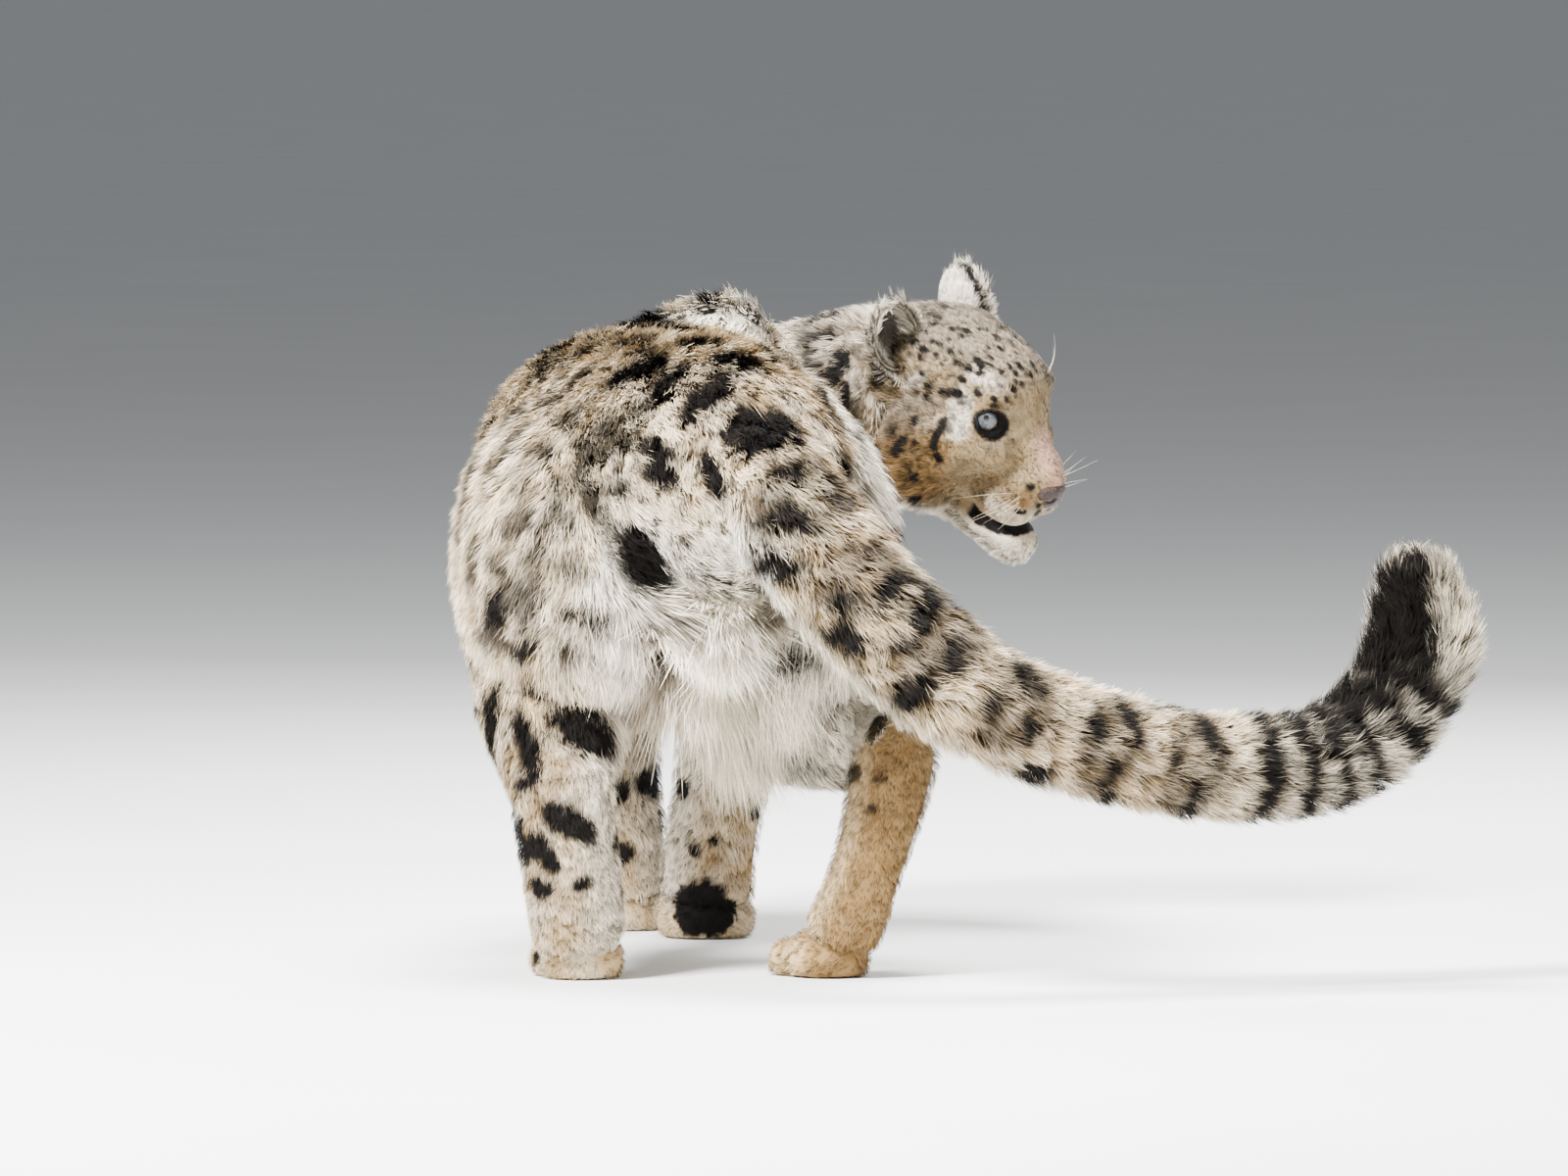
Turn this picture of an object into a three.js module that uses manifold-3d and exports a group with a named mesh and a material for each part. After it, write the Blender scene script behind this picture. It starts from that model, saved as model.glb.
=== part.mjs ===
// A snow leopard that stands with its back to the viewer and looks back over its right shoulder, life size.
// Millimetres. +Y is ahead of the hips, +X is the animal's right, +Z is up, and its soles stand on one level.
import * as THREE from "three";
import { mergeVertices } from "three/addons/utils/BufferGeometryUtils.js";
import Module from "manifold-3d";

const wasm = await Module();
wasm.setup();

const GAP = 0.35; // between pieces that touch
const CORE_SHARE = 0.5; // how far up the long coat a node's core reaches, with locks from there to the tips
const ROOM = 8; // how far past the coat's tips each stretch of the body owns the space around it
const HEAD_ROOM = 5;
const ROOM_MESH = { rings: 3, sides: 10 };

// Each coat's locks, in rows along the limb from one place of it to another: how many rows and how many locks
// in each, and a lock's length and width. way is 1 where the coat lies towards the limb's last station and -1
// towards its first, and fall is how far the locks turn down its sides.
const COATS = {
  neck: { from: 0.95, to: 0.55, rows: 1, around: 6, long: 110, wide: 68, way: -1, fall: 0.2, seed: 3 },
  torso: { rows: 2, around: 6, long: 165, wide: 104, way: -1, fall: 0.25, seed: 5 },
  thigh: { from: 0.05, to: 0.95, rows: 3, around: 6, long: 110, wide: 76, seed: 11 },
  shank: { from: 0.1, to: 0.5, rows: 1, around: 6, long: 90, wide: 56, seed: 17 },
  upper_arm: { from: 0.4, to: 0.8, rows: 1, around: 5, long: 100, wide: 70, seed: 23 },
  tail: { rows: 2, around: 5, long: 118, wide: 48, seed: 31 },
  tail_tip: { rows: 2, around: 6, long: 110, wide: 48, seed: 35 },
};
const FIRST_ON_TORSO = 0.04; // no lock of the torso is rooted nearer its rear end than this place
const LOCK_ROOT = 7; // how deep a lock's root is sunk below the core's surface
const LEAST_ROOM = 0.6; // no lock grows in a bend tighter than this share of its length
const LAST_REACH = 0.95; // how far over a limb's round end its last locks go
const UNEVEN = { place: 0.2, size: 0.24, turn: 0.12, wide: 0.2 }; // how much the locks differ, all told
// One lock: flat, with a ridge along it, widest near its root, and sharp at its tip.
const LOCK_SHAPE = [
  { t: 0, wide: 0.6, under: 0, over: 0.1 },
  { t: 0.4, wide: 1, under: 0.1, over: 0.85 },
  { t: 0.75, wide: 0.66, under: 0.5, over: 1 },
];
const TIP_SHARE = 0.97; // how far up the coat a lock's tip lies

// Each station of a limb: centre, half width across, reach above (or ahead), reach below (or behind), coat
// there, and coat on the lower (or rear) side. These are the sizes of the flesh, and the coat comes on top.
const station = (x, y, z, across, above, below, coat, under = coat) => [x, y, z, across, above, below, coat, under];

const TORSO = [
  station(50, -148, 446, 54, 54, 64, 32, 34),
  station(34, -98, 462, 94, 96, 104, 34, 38),
  station(4, 0, 466, 112, 108, 122, 36, 40),
  station(-36, 120, 462, 106, 110, 116, 36, 50),
  station(-62, 255, 452, 110, 112, 130, 36, 62),
  station(-50, 400, 446, 116, 114, 142, 34, 62),
  station(-6, 530, 446, 114, 120, 142, 34, 56),
  station(44, 622, 450, 92, 100, 116, 32, 48),
  station(74, 672, 452, 56, 60, 72, 30, 44),
];
// The tops of the shoulder blades, which swell the back: place, how wide and how high.
const SHOULDER_BLADES = [
  { at: [-62, 560, 560], reach: 62, rise: 12 },
  { at: [40, 505, 580], reach: 56, rise: 40 },
];
const NECK = [
  station(10, 540, 452, 88, 84, 96, 28, 44),
  station(60, 606, 478, 78, 74, 86, 28, 44),
  station(108, 628, 500, 70, 66, 78, 28, 42),
  station(152, 612, 518, 66, 62, 72, 27, 38),
  station(186, 582, 530, 62, 58, 66, 24, 32),
];
// The torso's and the tail's nodes, by place along each.
const TORSO_LENGTHS = [
  { name: "chest", from: 0.66, to: 1 },
  { name: "belly", from: 0.33, to: 0.66 },
  { name: "rump", from: 0, to: 0.33 },
];
const TAIL_LENGTHS = [
  { name: "tail_root", from: 0, to: 0.2 },
  { name: "tail_upper", from: 0.2, to: 0.4 },
  { name: "tail_middle", from: 0.4, to: 0.59 },
  { name: "tail_lower", from: 0.59, to: 0.77 },
  { name: "tail_tip", from: 0.77, to: 1 },
];
const TAIL = [
  station(30, -84, 512, 34, 34, 34, 26),
  station(62, -142, 488, 31, 31, 31, 34),
  station(92, -188, 446, 28, 28, 28, 38),
  station(135, -216, 393, 26, 26, 26, 40),
  station(184, -220, 341, 25, 25, 25, 40),
  station(247, -212, 286, 24, 24, 24, 38),
  station(323, -190, 247, 22, 22, 22, 37),
  station(405, -162, 222, 20, 20, 20, 37),
  station(487, -132, 207, 19, 19, 19, 37),
  station(560, -104, 207, 18, 18, 18, 39),
  station(619, -84, 228, 17, 17, 17, 42),
  station(660, -72, 271, 16, 16, 16, 45),
  station(678, -70, 320, 15, 15, 15, 46),
  station(676, -76, 362, 12, 12, 12, 38),
];
const THIGH = {
  left: [
    station(-46, 18, 505, 54, 84, 78, 32, 40),
    station(-92, 14, 440, 78, 104, 102, 34, 46),
    station(-114, 34, 375, 74, 92, 98, 34, 52),
    station(-126, 62, 318, 60, 70, 78, 30, 50),
    station(-132, 74, 284, 50, 52, 60, 26, 42),
  ],
  right: [
    station(56, 52, 505, 54, 84, 78, 32, 40),
    station(80, 72, 440, 72, 104, 102, 34, 50),
    station(84, 108, 372, 70, 90, 100, 32, 60),
    station(84, 138, 308, 60, 72, 86, 30, 58),
    station(80, 154, 266, 48, 50, 64, 26, 54),
  ],
};
const SHANK = {
  left: [
    station(-132, 68, 300, 50, 48, 56, 26, 44),
    station(-128, 36, 254, 46, 42, 52, 26, 42),
    station(-121, -2, 212, 40, 34, 42, 22, 28),
    station(-114, -28, 182, 37, 30, 34, 18, 16),
  ],
  right: [
    station(80, 162, 272, 46, 44, 56, 26, 54),
    station(112, 120, 236, 44, 38, 54, 26, 52),
    station(154, 70, 216, 36, 30, 42, 20, 38),
    station(190, 26, 210, 28, 25, 30, 10, 10),
  ],
};
const HIND_FOOT = {
  left: [
    station(-115, -30, 192, 37, 30, 32, 18, 14),
    station(-111, -30, 140, 35, 29, 30, 16, 13),
    station(-104, -20, 84, 36, 30, 29, 13, 12),
    station(-99, -4, 40, 37, 31, 28, 10, 10),
  ],
  right: [
    station(194, 14, 204, 27, 26, 28, 9, 8),
    station(182, 0, 152, 27, 26, 27, 9, 8),
    station(165, 0, 94, 28, 27, 27, 9, 8),
    station(146, 13, 42, 32, 30, 28, 9, 8),
  ],
};
const UPPER_ARM = {
  left: [
    station(-62, 562, 470, 50, 74, 70, 30, 34),
    station(-84, 552, 410, 52, 76, 72, 30, 36),
    station(-92, 522, 345, 48, 58, 60, 28, 36),
    station(-90, 502, 296, 42, 46, 48, 24, 32),
  ],
  right: [
    station(54, 496, 470, 50, 74, 70, 30, 34),
    station(72, 482, 410, 54, 76, 72, 30, 36),
    station(74, 446, 345, 50, 58, 60, 28, 36),
    station(64, 424, 296, 42, 46, 48, 24, 32),
  ],
};
const FOREARM = {
  left: [
    station(-90, 504, 312, 42, 44, 46, 24, 30),
    station(-82, 520, 240, 36, 38, 38, 20, 24),
    station(-72, 548, 160, 32, 33, 32, 15, 18),
    station(-64, 566, 90, 32, 32, 32, 12, 13),
    station(-62, 574, 44, 34, 33, 30, 10, 10),
  ],
  right: [
    station(64, 426, 312, 42, 44, 46, 24, 30),
    station(50, 440, 240, 38, 38, 38, 20, 24),
    station(32, 460, 160, 35, 33, 32, 16, 18),
    station(20, 472, 90, 36, 32, 32, 13, 13),
    station(16, 478, 44, 38, 33, 30, 11, 10),
  ],
};

// Angles from straight ahead to the left of each leg, and each paw's place on the floor.
const PAW = {
  hind_left: { at: [-99, 18], heading: 14, wide: 43, long: 52, tall: 46 },
  hind_right: { at: [128, 34], heading: 36, wide: 42, long: 52, tall: 46 },
  fore_left: { at: [-64, 596], heading: 8, wide: 48, long: 54, tall: 50 },
  fore_right: { at: [15, 494], heading: 2, wide: 50, long: 54, tall: 52 },
};
const HAUNCH_HEADING = { left: 22, right: 20 };
const ARM_HEADING = { left: 4, right: 0 };

// The head's own axes: forward, left and up from the point midway between the eyeballs.
const HEAD = { at: [305, 520, 507], yaw: 28, pitch: 27, roll: 14, size: 1.05 };
// Soft forms of the head out to its short coat: centre and half sizes, in forward, left and up.
const HEAD_FORMS = {
  cranium: { at: [-64, 0, 14], half: [70, 66, 58], blend: 1 },
  forehead: { at: [-16, 0, 24], half: [46, 48, 38], blend: 24 },
  cheekbone: { at: [-28, 46, -26], half: [46, 34, 38], blend: 20, pair: true },
  jaw_muscle: { at: [-46, 48, -62], half: [48, 38, 56], blend: 22, pair: true },
  nape: { at: [-112, 0, -14], half: [46, 62, 62], blend: 26 },
  throat: { at: [-46, 0, -84], half: [54, 48, 46], blend: 26 },
  bridge_rear: { at: [16, 0, -4], half: [36, 22, 24], blend: 16, tilt: 28 },
  bridge: { at: [44, 0, -26], half: [38, 18, 20], blend: 12, tilt: 32 },
  muzzle: { at: [32, 0, -60], half: [40, 36, 34], blend: 14 },
  whisker_pad: { at: [46, 19, -68], half: [26, 21, 22], blend: 9, pair: true },
  lower_jaw: { at: [6, 0, -106], half: [54, 32, 24], blend: 14, tilt: 6 },
  chin: { at: [42, 0, -113], half: [26, 24, 22], blend: 10 },
  brow: { at: [6, 34, 22], half: [21, 19, 11], blend: 10, pair: true },
  under_eye: { at: [12, 40, -24], half: [25, 17, 13], blend: 9, pair: true },
};
const HEAD_AXIS = { back: [-76, 0, -20], front: [26, 0, -66] };
const EYE = { at: [1, 40, 6], radius: 14.5, outward: 24, upward: 4 };
const LID = { thickness: 2.6, long: 13.5, high: 10.5, slant: 18 };
const NOSE = { at: [71, 0, -47], half: [10, 17, 15], nostril: [6, 8, -1] };
// The line of the mouth in side view, from under the nose back to its corner: forward and up.
const MOUTH_LINE = [[92, -80], [72, -86], [56, -92], [38, -96], [20, -95], [4, -88]];
const MOUTH = { gap: 2.4, depth: 8, lip: 1.4, band: 8 };
const EAR = { at: [-98, 64, 48], wide: 33, tall: 44, deep: 21, wall: 5.5, outward: 26, back: 20, facing: 42 };

const DEGREE = Math.PI / 180;
const v3 = (a) => new THREE.Vector3(...a);
const mix = (a, b, t) => a + (b - a) * t;

// A value of a list of stations at u, from 0 at the first to 1 at the last, on a smooth curve through them.
function along(stations, u) {
  const spans = stations.length - 1;
  const i = Math.min(spans - 1, Math.max(0, Math.floor(u * spans)));
  const t = u * spans - i;
  const p = [i - 1, i, i + 1, i + 2].map((k) => stations[Math.min(spans, Math.max(0, k))]);
  return p[1].map((_, k) => {
    const [a, b, c, d] = p.map((s) => s[k]);
    const bend = 2 * a - 5 * b + 4 * c - d;
    const twist = -a + 3 * b - 3 * c + d;
    return b + 0.5 * t * (c - a + t * (bend + t * twist));
  });
}

// A soft limb through its stations. Across is the animal's right, and above is up, or ahead on a leg.
class Limb {
  constructor(stations, right = null, ends = [0.5, 0.5], swells = []) {
    this.stations = stations;
    this.right = right && v3(right);
    this.ends = ends;
    this.swells = swells;
    this.length = 0;
    const steps = 60;
    for (let i = 0; i < steps; i++) this.length += this.centre(i / steps).distanceTo(this.centre((i + 1) / steps));
  }
  // How far the round cap reaches past the end at u, or 0 anywhere else.
  capReach(u, share, more) {
    if (u > 0 && u < 1) return 0;
    const [, , , half, above, below, coat] = along(this.stations, u);
    return ((half + above + below) / 3) * this.ends[u > 0 ? 1 : 0] + coat * share + more;
  }
  centre(u) {
    return v3(along(this.stations, u).slice(0, 3));
  }
  frame(u) {
    const e = 0.01;
    const ahead = this.centre(Math.min(1, u + e)).sub(this.centre(Math.max(0, u - e))).normalize();
    const hint = this.right ?? new THREE.Vector3().crossVectors(ahead, new THREE.Vector3(0, 0, 1));
    const across = hint.clone().addScaledVector(ahead, -hint.dot(ahead)).normalize();
    return { ahead, across, above: new THREE.Vector3().crossVectors(across, ahead) };
  }
  // A point at an angle from across towards above. share is how far up the coat it lies, and more adds to that.
  // Past an end the surface goes straight on, and closes in like the cap there.
  point(place, angle, share, more = 0) {
    const u = THREE.MathUtils.clamp(place, 0, 1);
    const [, , , half, above, below, coat, under] = along(this.stations, u);
    const { across, above: up } = this.frame(u);
    const down = Math.max(0, -Math.sin(angle));
    const extra = mix(coat, under, down) * share + more;
    const out = new THREE.Vector3()
      .addScaledVector(across, (half + extra) * Math.cos(angle))
      .addScaledVector(up, ((Math.sin(angle) > 0 ? above : below) + extra) * Math.sin(angle));
    if (place !== u) {
      const past = (place - u) * this.length;
      const reach = half * this.ends[place < u ? 0 : 1] + extra;
      const closing = Math.min(0.95, Math.abs(past) / reach);
      out.multiplyScalar(Math.sqrt(1 - closing * closing)).addScaledVector(this.frame(u).ahead, past);
    }
    const p = this.centre(u).add(out);
    for (const { at, reach, rise } of this.swells) {
      const near = p.distanceTo(v3(at)) / reach;
      p.addScaledVector(out.clone().normalize(), rise * Math.exp(-near * near));
    }
    return p;
  }
  // A closed mesh of the limb between two of its places, with round ends at its own ends and flat ones else.
  geometry(rings, sides, share, more = 0, from = 0, to = 1) {
    const points = [];
    const ring = (u, cap) => {
      const centre = this.centre(u);
      const { ahead } = this.frame(u);
      const reach = this.capReach(u, share, more);
      for (let k = 0; k < sides; k++) {
        const p = this.point(u, (2 * Math.PI * k) / sides, share, more);
        p.sub(centre).multiplyScalar(Math.cos(cap)).add(centre);
        points.push(p.addScaledVector(ahead, reach * Math.sin(cap)));
      }
    };
    const caps = [-50 * DEGREE];
    if (from === 0) for (const c of caps) ring(from, c);
    for (let i = 0; i <= rings; i++) ring(mix(from, to, i / rings), 0);
    if (to === 1) for (const c of caps.slice().reverse()) ring(to, -c);
    const pole = (u, sign) => this.centre(u).addScaledVector(this.frame(u).ahead, sign * this.capReach(u, share, more));
    return rolled(points, sides, pole(from, -1), pole(to, 1));
  }
}

// The locks of a limb's coat, each bent along the body. grows tells where they grow, by place and angle.
function locks(limb, { from, to, rows, around, long, wide, way = 1, fall = 0, grows = () => true, seed }) {
  const made = [];
  const draw = randomDraws(seed);
  const first = -LAST_REACH * limb.capReach(0, 1, 0);
  const last = limb.length + LAST_REACH * limb.capReach(1, 1, 0);
  for (let row = 0; row < rows; row++) {
    for (let k = 0; k < around; k++) {
      const [a, b, c, d] = [draw() - 0.5, draw() - 0.5, draw() - 0.5, draw() - 0.5];
      const u = mix(from, to, (row + 0.5 + UNEVEN.place * a) / rows);
      const angle = (2 * Math.PI * (k + 0.5 * (row % 2) + UNEVEN.place * b)) / around;
      if (!grows(u, angle)) continue;
      const end = THREE.MathUtils.clamp(u * limb.length + way * long * (1 + UNEVEN.size * c), first, last);
      const step = end / limb.length - u;
      const turn = -fall * Math.cos(angle) + UNEVEN.turn * d;
      const reach = limb.point(u, angle, 1).distanceTo(limb.point(u + step, angle, 1));
      if (reach < LEAST_ROOM * Math.abs(step) * limb.length) continue;
      made.push(lock(limb, { u, angle, step, turn, wide: wide * (1 + UNEVEN.wide * a) }));
    }
  }
  return made;
}

function lock(limb, { u, angle, step, turn, wide }) {
  const coatThere = along(limb.stations, u)[6];
  const radius = limb.point(u, angle, 1).distanceTo(limb.centre(u));
  const at = (t, aside, share) => limb.point(u + step * t, angle + turn * t * t + aside / radius, share);
  const root = CORE_SHARE - LOCK_ROOT / coatThere;
  const points = [];
  for (const { t, wide: part, under, over } of LOCK_SHAPE) {
    const half = (wide / 2) * part;
    const low = mix(root, 1, under);
    points.push(at(t, half, low), at(t, 0, mix(root, 1, over)), at(t, -half, low));
  }
  return solid(rolled(points, 3, at(0, 0, root), at(1, 0, TIP_SHARE)));
}

// Draws between 0 and 1 that are the same each time.
function randomDraws(seed) {
  let state = seed;
  return () => {
    state = (state * 1664525 + 1013904223) % 4294967296;
    return state / 4294967296;
  };
}

// A closed mesh of rings of points, with a pole at each end.
function rolled(points, sides, first, last) {
  const rings = points.length / sides;
  const position = [...points, first, last].flatMap((p) => [p.x, p.y, p.z]);
  const faces = [];
  for (let k = 0; k < sides; k++) {
    const n = (k + 1) % sides;
    for (let r = 0; r < rings - 1; r++) {
      const [a, b, c, d] = [r * sides + k, r * sides + n, (r + 1) * sides + n, (r + 1) * sides + k];
      faces.push(a, c, b, a, d, c);
    }
    const end = (rings - 1) * sides;
    faces.push(points.length, k, n, points.length + 1, end + n, end + k);
  }
  return new THREE.BufferGeometry()
    .setAttribute("position", new THREE.Float32BufferAttribute(position, 3))
    .setIndex(faces);
}

// A three.js geometry as a solid that can be joined and cut.
function solid(geometry, matrix = new THREE.Matrix4()) {
  const bare = new THREE.BufferGeometry().setAttribute("position", geometry.getAttribute("position").clone());
  if (geometry.index) bare.setIndex(geometry.index.clone());
  const merged = mergeVertices(bare.applyMatrix4(matrix), 1e-3);
  const made = new wasm.Manifold(
    new wasm.Mesh({
      numProp: 3,
      vertProperties: new Float32Array(merged.attributes.position.array),
      triVerts: new Uint32Array(merged.index.array),
    }),
  );
  if (made.volume() > 0) return made;
  const turned = new Uint32Array(merged.index.array);
  for (let i = 0; i < turned.length; i += 3) [turned[i + 1], turned[i + 2]] = [turned[i + 2], turned[i + 1]];
  return new wasm.Manifold(
    new wasm.Mesh({
      numProp: 3,
      vertProperties: new Float32Array(merged.attributes.position.array),
      triVerts: turned,
    }),
  );
}

function geometryOf(made) {
  const mesh = made.getMesh();
  return new THREE.BufferGeometry()
    .setAttribute("position", new THREE.Float32BufferAttribute(mesh.vertProperties, 3))
    .setIndex([...mesh.triVerts])
    .toNonIndexed();
}

const largest = (made) => made.decompose().sort((a, b) => b.volume() - a.volume())[0];
const joined = (list) => list.reduce((a, b) => a.add(b));

function ball(at, half, turn = new THREE.Matrix4(), around = 16, high = 12) {
  const place = new THREE.Matrix4().makeTranslation(...at);
  const size = new THREE.Matrix4().makeScale(...half);
  return solid(new THREE.SphereGeometry(1, around, high), place.multiply(turn).multiply(size));
}

// The head's axes in the body's frame: columns forward, left and up, and the place midway between the eyes.
function headMatrix() {
  const [yaw, pitch, roll] = [HEAD.yaw, HEAD.pitch, HEAD.roll].map((a) => a * DEGREE);
  const forward = v3([Math.cos(yaw) * Math.cos(pitch), -Math.sin(yaw) * Math.cos(pitch), -Math.sin(pitch)]);
  const level = v3([Math.sin(yaw), Math.cos(yaw), 0]);
  const crown = new THREE.Vector3().crossVectors(forward, level);
  const left = level.multiplyScalar(Math.cos(roll)).addScaledVector(crown, Math.sin(roll));
  const up = new THREE.Vector3().crossVectors(forward, left);
  return new THREE.Matrix4()
    .makeBasis(forward, left, up)
    .scale(new THREE.Vector3(HEAD.size, HEAD.size, HEAD.size))
    .setPosition(...HEAD.at);
}

// How far a point lies outside the head's soft forms, in millimetres.
function headDistance(p) {
  let distance = Infinity;
  for (const form of Object.values(HEAD_FORMS)) {
    const tilt = (form.tilt ?? 0) * DEGREE;
    for (const side of form.pair ? [1, -1] : [1]) {
      const f = p.x - form.at[0];
      const u = p.z - form.at[2];
      const q = [
        (f * Math.cos(tilt) - u * Math.sin(tilt)) / form.half[0],
        (p.y - side * form.at[1]) / form.half[1],
        (f * Math.sin(tilt) + u * Math.cos(tilt)) / form.half[2],
      ];
      const k0 = Math.hypot(...q);
      const k1 = Math.hypot(...q.map((c, i) => c / form.half[i]));
      const d = k1 > 0 ? (k0 * (k0 - 1)) / k1 : -Math.min(...form.half);
      const h = Math.max(0, form.blend - Math.abs(distance - d)) / form.blend;
      distance = Number.isFinite(distance) ? Math.min(distance, d) - (h * h * form.blend) / 4 : d;
    }
  }
  return distance;
}

// The head's surface, found by going out from its axis, as a closed mesh in the head's own axes.
function headGeometry(rings, sides, grow) {
  const back = v3(HEAD_AXIS.back);
  const front = v3(HEAD_AXIS.front);
  const axis = front.clone().sub(back);
  const spine = axis.clone().normalize();
  const left = new THREE.Vector3(0, 1, 0);
  const up = new THREE.Vector3().crossVectors(spine, left);
  const reach = 60;
  const total = axis.length() + Math.PI * reach;
  const hit = (s, angle) => {
    const at = s * total - (Math.PI * reach) / 2;
    const place = THREE.MathUtils.clamp(at / axis.length(), 0, 1);
    const lean = at < 0 ? at / reach : Math.max(0, at - axis.length()) / reach;
    const way = left.clone().multiplyScalar(Math.cos(angle)).addScaledVector(up, Math.sin(angle));
    way.multiplyScalar(Math.cos(lean)).addScaledVector(spine, Math.sin(lean));
    const p = back.clone().addScaledVector(axis, place);
    for (let i = 0; i < 60; i++) {
      const d = headDistance(p) - grow;
      if (d > -0.02) break;
      p.addScaledVector(way, -0.9 * d);
    }
    return p;
  };
  const points = [];
  for (let r = 1; r < rings; r++) {
    for (let k = 0; k < sides; k++) points.push(hit(r / rings, (2 * Math.PI * (k + 0.5)) / sides));
  }
  return rolled(points, sides, hit(0, 0), hit(1, 0));
}

const headPlace = headMatrix();
const inHead = (geometry, local = new THREE.Matrix4()) => solid(geometry, headPlace.clone().multiply(local));

// Turns a piece's own forward axis outward and upward on the given side of the head.
function facing(side, outward, upward, roll = 0) {
  return new THREE.Matrix4()
    .makeRotationZ(side * outward * DEGREE)
    .multiply(new THREE.Matrix4().makeRotationY(-upward * DEGREE))
    .multiply(new THREE.Matrix4().makeRotationX(-side * roll * DEGREE));
}

function eyeBall(side, more = 0) {
  const local = new THREE.Matrix4().makeTranslation(EYE.at[0], side * EYE.at[1], EYE.at[2]);
  const turn = facing(side, EYE.outward, EYE.upward);
  const lying = new THREE.Matrix4().makeRotationZ(-Math.PI / 2);
  const size = EYE.radius + more;
  return inHead(new THREE.SphereGeometry(size, 10, 7), local.multiply(turn).multiply(lying));
}

// The lens-shaped opening between the lids, as a solid that reaches forward from the eyeball.
function lidOpening(side) {
  const outline = new THREE.Shape();
  const steps = 7;
  for (let i = 0; i < 2 * steps; i++) {
    const x = Math.cos((Math.PI * i) / steps);
    const high = Math.sign(steps - i) * LID.high * Math.sqrt(1 - x * x) ** 1.4;
    outline[i ? "lineTo" : "moveTo"](x * LID.long, i % steps ? high : 0);
  }
  const bar = new THREE.ExtrudeGeometry(outline, { depth: 40, bevelEnabled: false });
  const stand = new THREE.Matrix4().makeBasis(v3([0, 1, 0]), v3([0, 0, 1]), v3([1, 0, 0]));
  const local = new THREE.Matrix4().makeTranslation(EYE.at[0], side * EYE.at[1], EYE.at[2]);
  local.multiply(facing(side, EYE.outward, EYE.upward, -LID.slant)).multiply(stand);
  return inHead(bar, local);
}

function nosePad(more = 0) {
  const local = new THREE.Matrix4().makeTranslation(...NOSE.at);
  const [f, l, u] = NOSE.half.map((h) => h + more);
  return inHead(new THREE.SphereGeometry(1, 10, 7), local.scale(v3([f, l, u])));
}

function nostril(side) {
  const [f, l, u] = NOSE.nostril;
  const local = new THREE.Matrix4().makeTranslation(NOSE.at[0] + f, side * l, NOSE.at[2] + u);
  local.multiply(new THREE.Matrix4().makeRotationX(side * 30 * DEGREE)).scale(v3([7, 2.6, 3.8]));
  return inHead(new THREE.SphereGeometry(1, 6, 4), local);
}

// A strip of the given thickness along the line of the mouth, right across the head.
function mouthStrip(thick) {
  const curve = new THREE.SplineCurve(MOUTH_LINE.map(([f, u]) => new THREE.Vector2(f, u)));
  const top = curve.getPoints(7);
  const low = top.map((p) => new THREE.Vector2(p.x, p.y - thick / 2)).reverse();
  const shape = new THREE.Shape([...top.map((p) => new THREE.Vector2(p.x, p.y + thick / 2)), ...low]);
  const wide = 130;
  const slab = new THREE.ExtrudeGeometry(shape, { depth: wide, bevelEnabled: false });
  const stand = new THREE.Matrix4().makeBasis(v3([1, 0, 0]), v3([0, 0, 1]), v3([0, -1, 0]));
  return inHead(slab, stand.setPosition(0, wide / 2, 0));
}

const headShape = (grow, rings = 18, sides = 20) => inHead(headGeometry(rings, sides, grow));

// The head with its lips, the line of its mouth, its lids and the places of its eyes and nose.
function headSolid(shape) {
  const lips = mouthStrip(MOUTH.band).intersect(headShape(MOUTH.lip));
  const line = mouthStrip(MOUTH.gap).subtract(headShape(-MOUTH.depth, 12, 14));
  let head = shape.add(lips).subtract(line);
  for (const side of [1, -1]) {
    const lid = eyeBall(side, LID.thickness);
    head = head.add(lid).subtract(lidOpening(side)).subtract(eyeBall(side, GAP));
  }
  return head.subtract(nosePad(GAP));
}

// An ear's cup: a leaf of skin whose hollow faces ahead and outward.
function earSolid(side) {
  const local = new THREE.Matrix4().makeTranslation(EAR.at[0], side * EAR.at[1], EAR.at[2]);
  local.multiply(new THREE.Matrix4().makeRotationX(-side * EAR.outward * DEGREE));
  local.multiply(new THREE.Matrix4().makeRotationY(-EAR.back * DEGREE));
  local.multiply(new THREE.Matrix4().makeRotationZ(side * EAR.facing * DEGREE));
  const outer = local.clone().scale(v3([EAR.deep, EAR.wide, EAR.tall]));
  const hollow = local.clone().multiply(new THREE.Matrix4().makeTranslation(EAR.deep * 0.8, 0, 4));
  hollow.scale(v3([EAR.deep * 1.25, EAR.wide - EAR.wall, EAR.tall - EAR.wall]));
  const sphere = new THREE.SphereGeometry(1, 9, 7).rotateX(Math.PI / 2);
  return inHead(sphere, outer).subtract(inHead(sphere, hollow));
}

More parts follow.
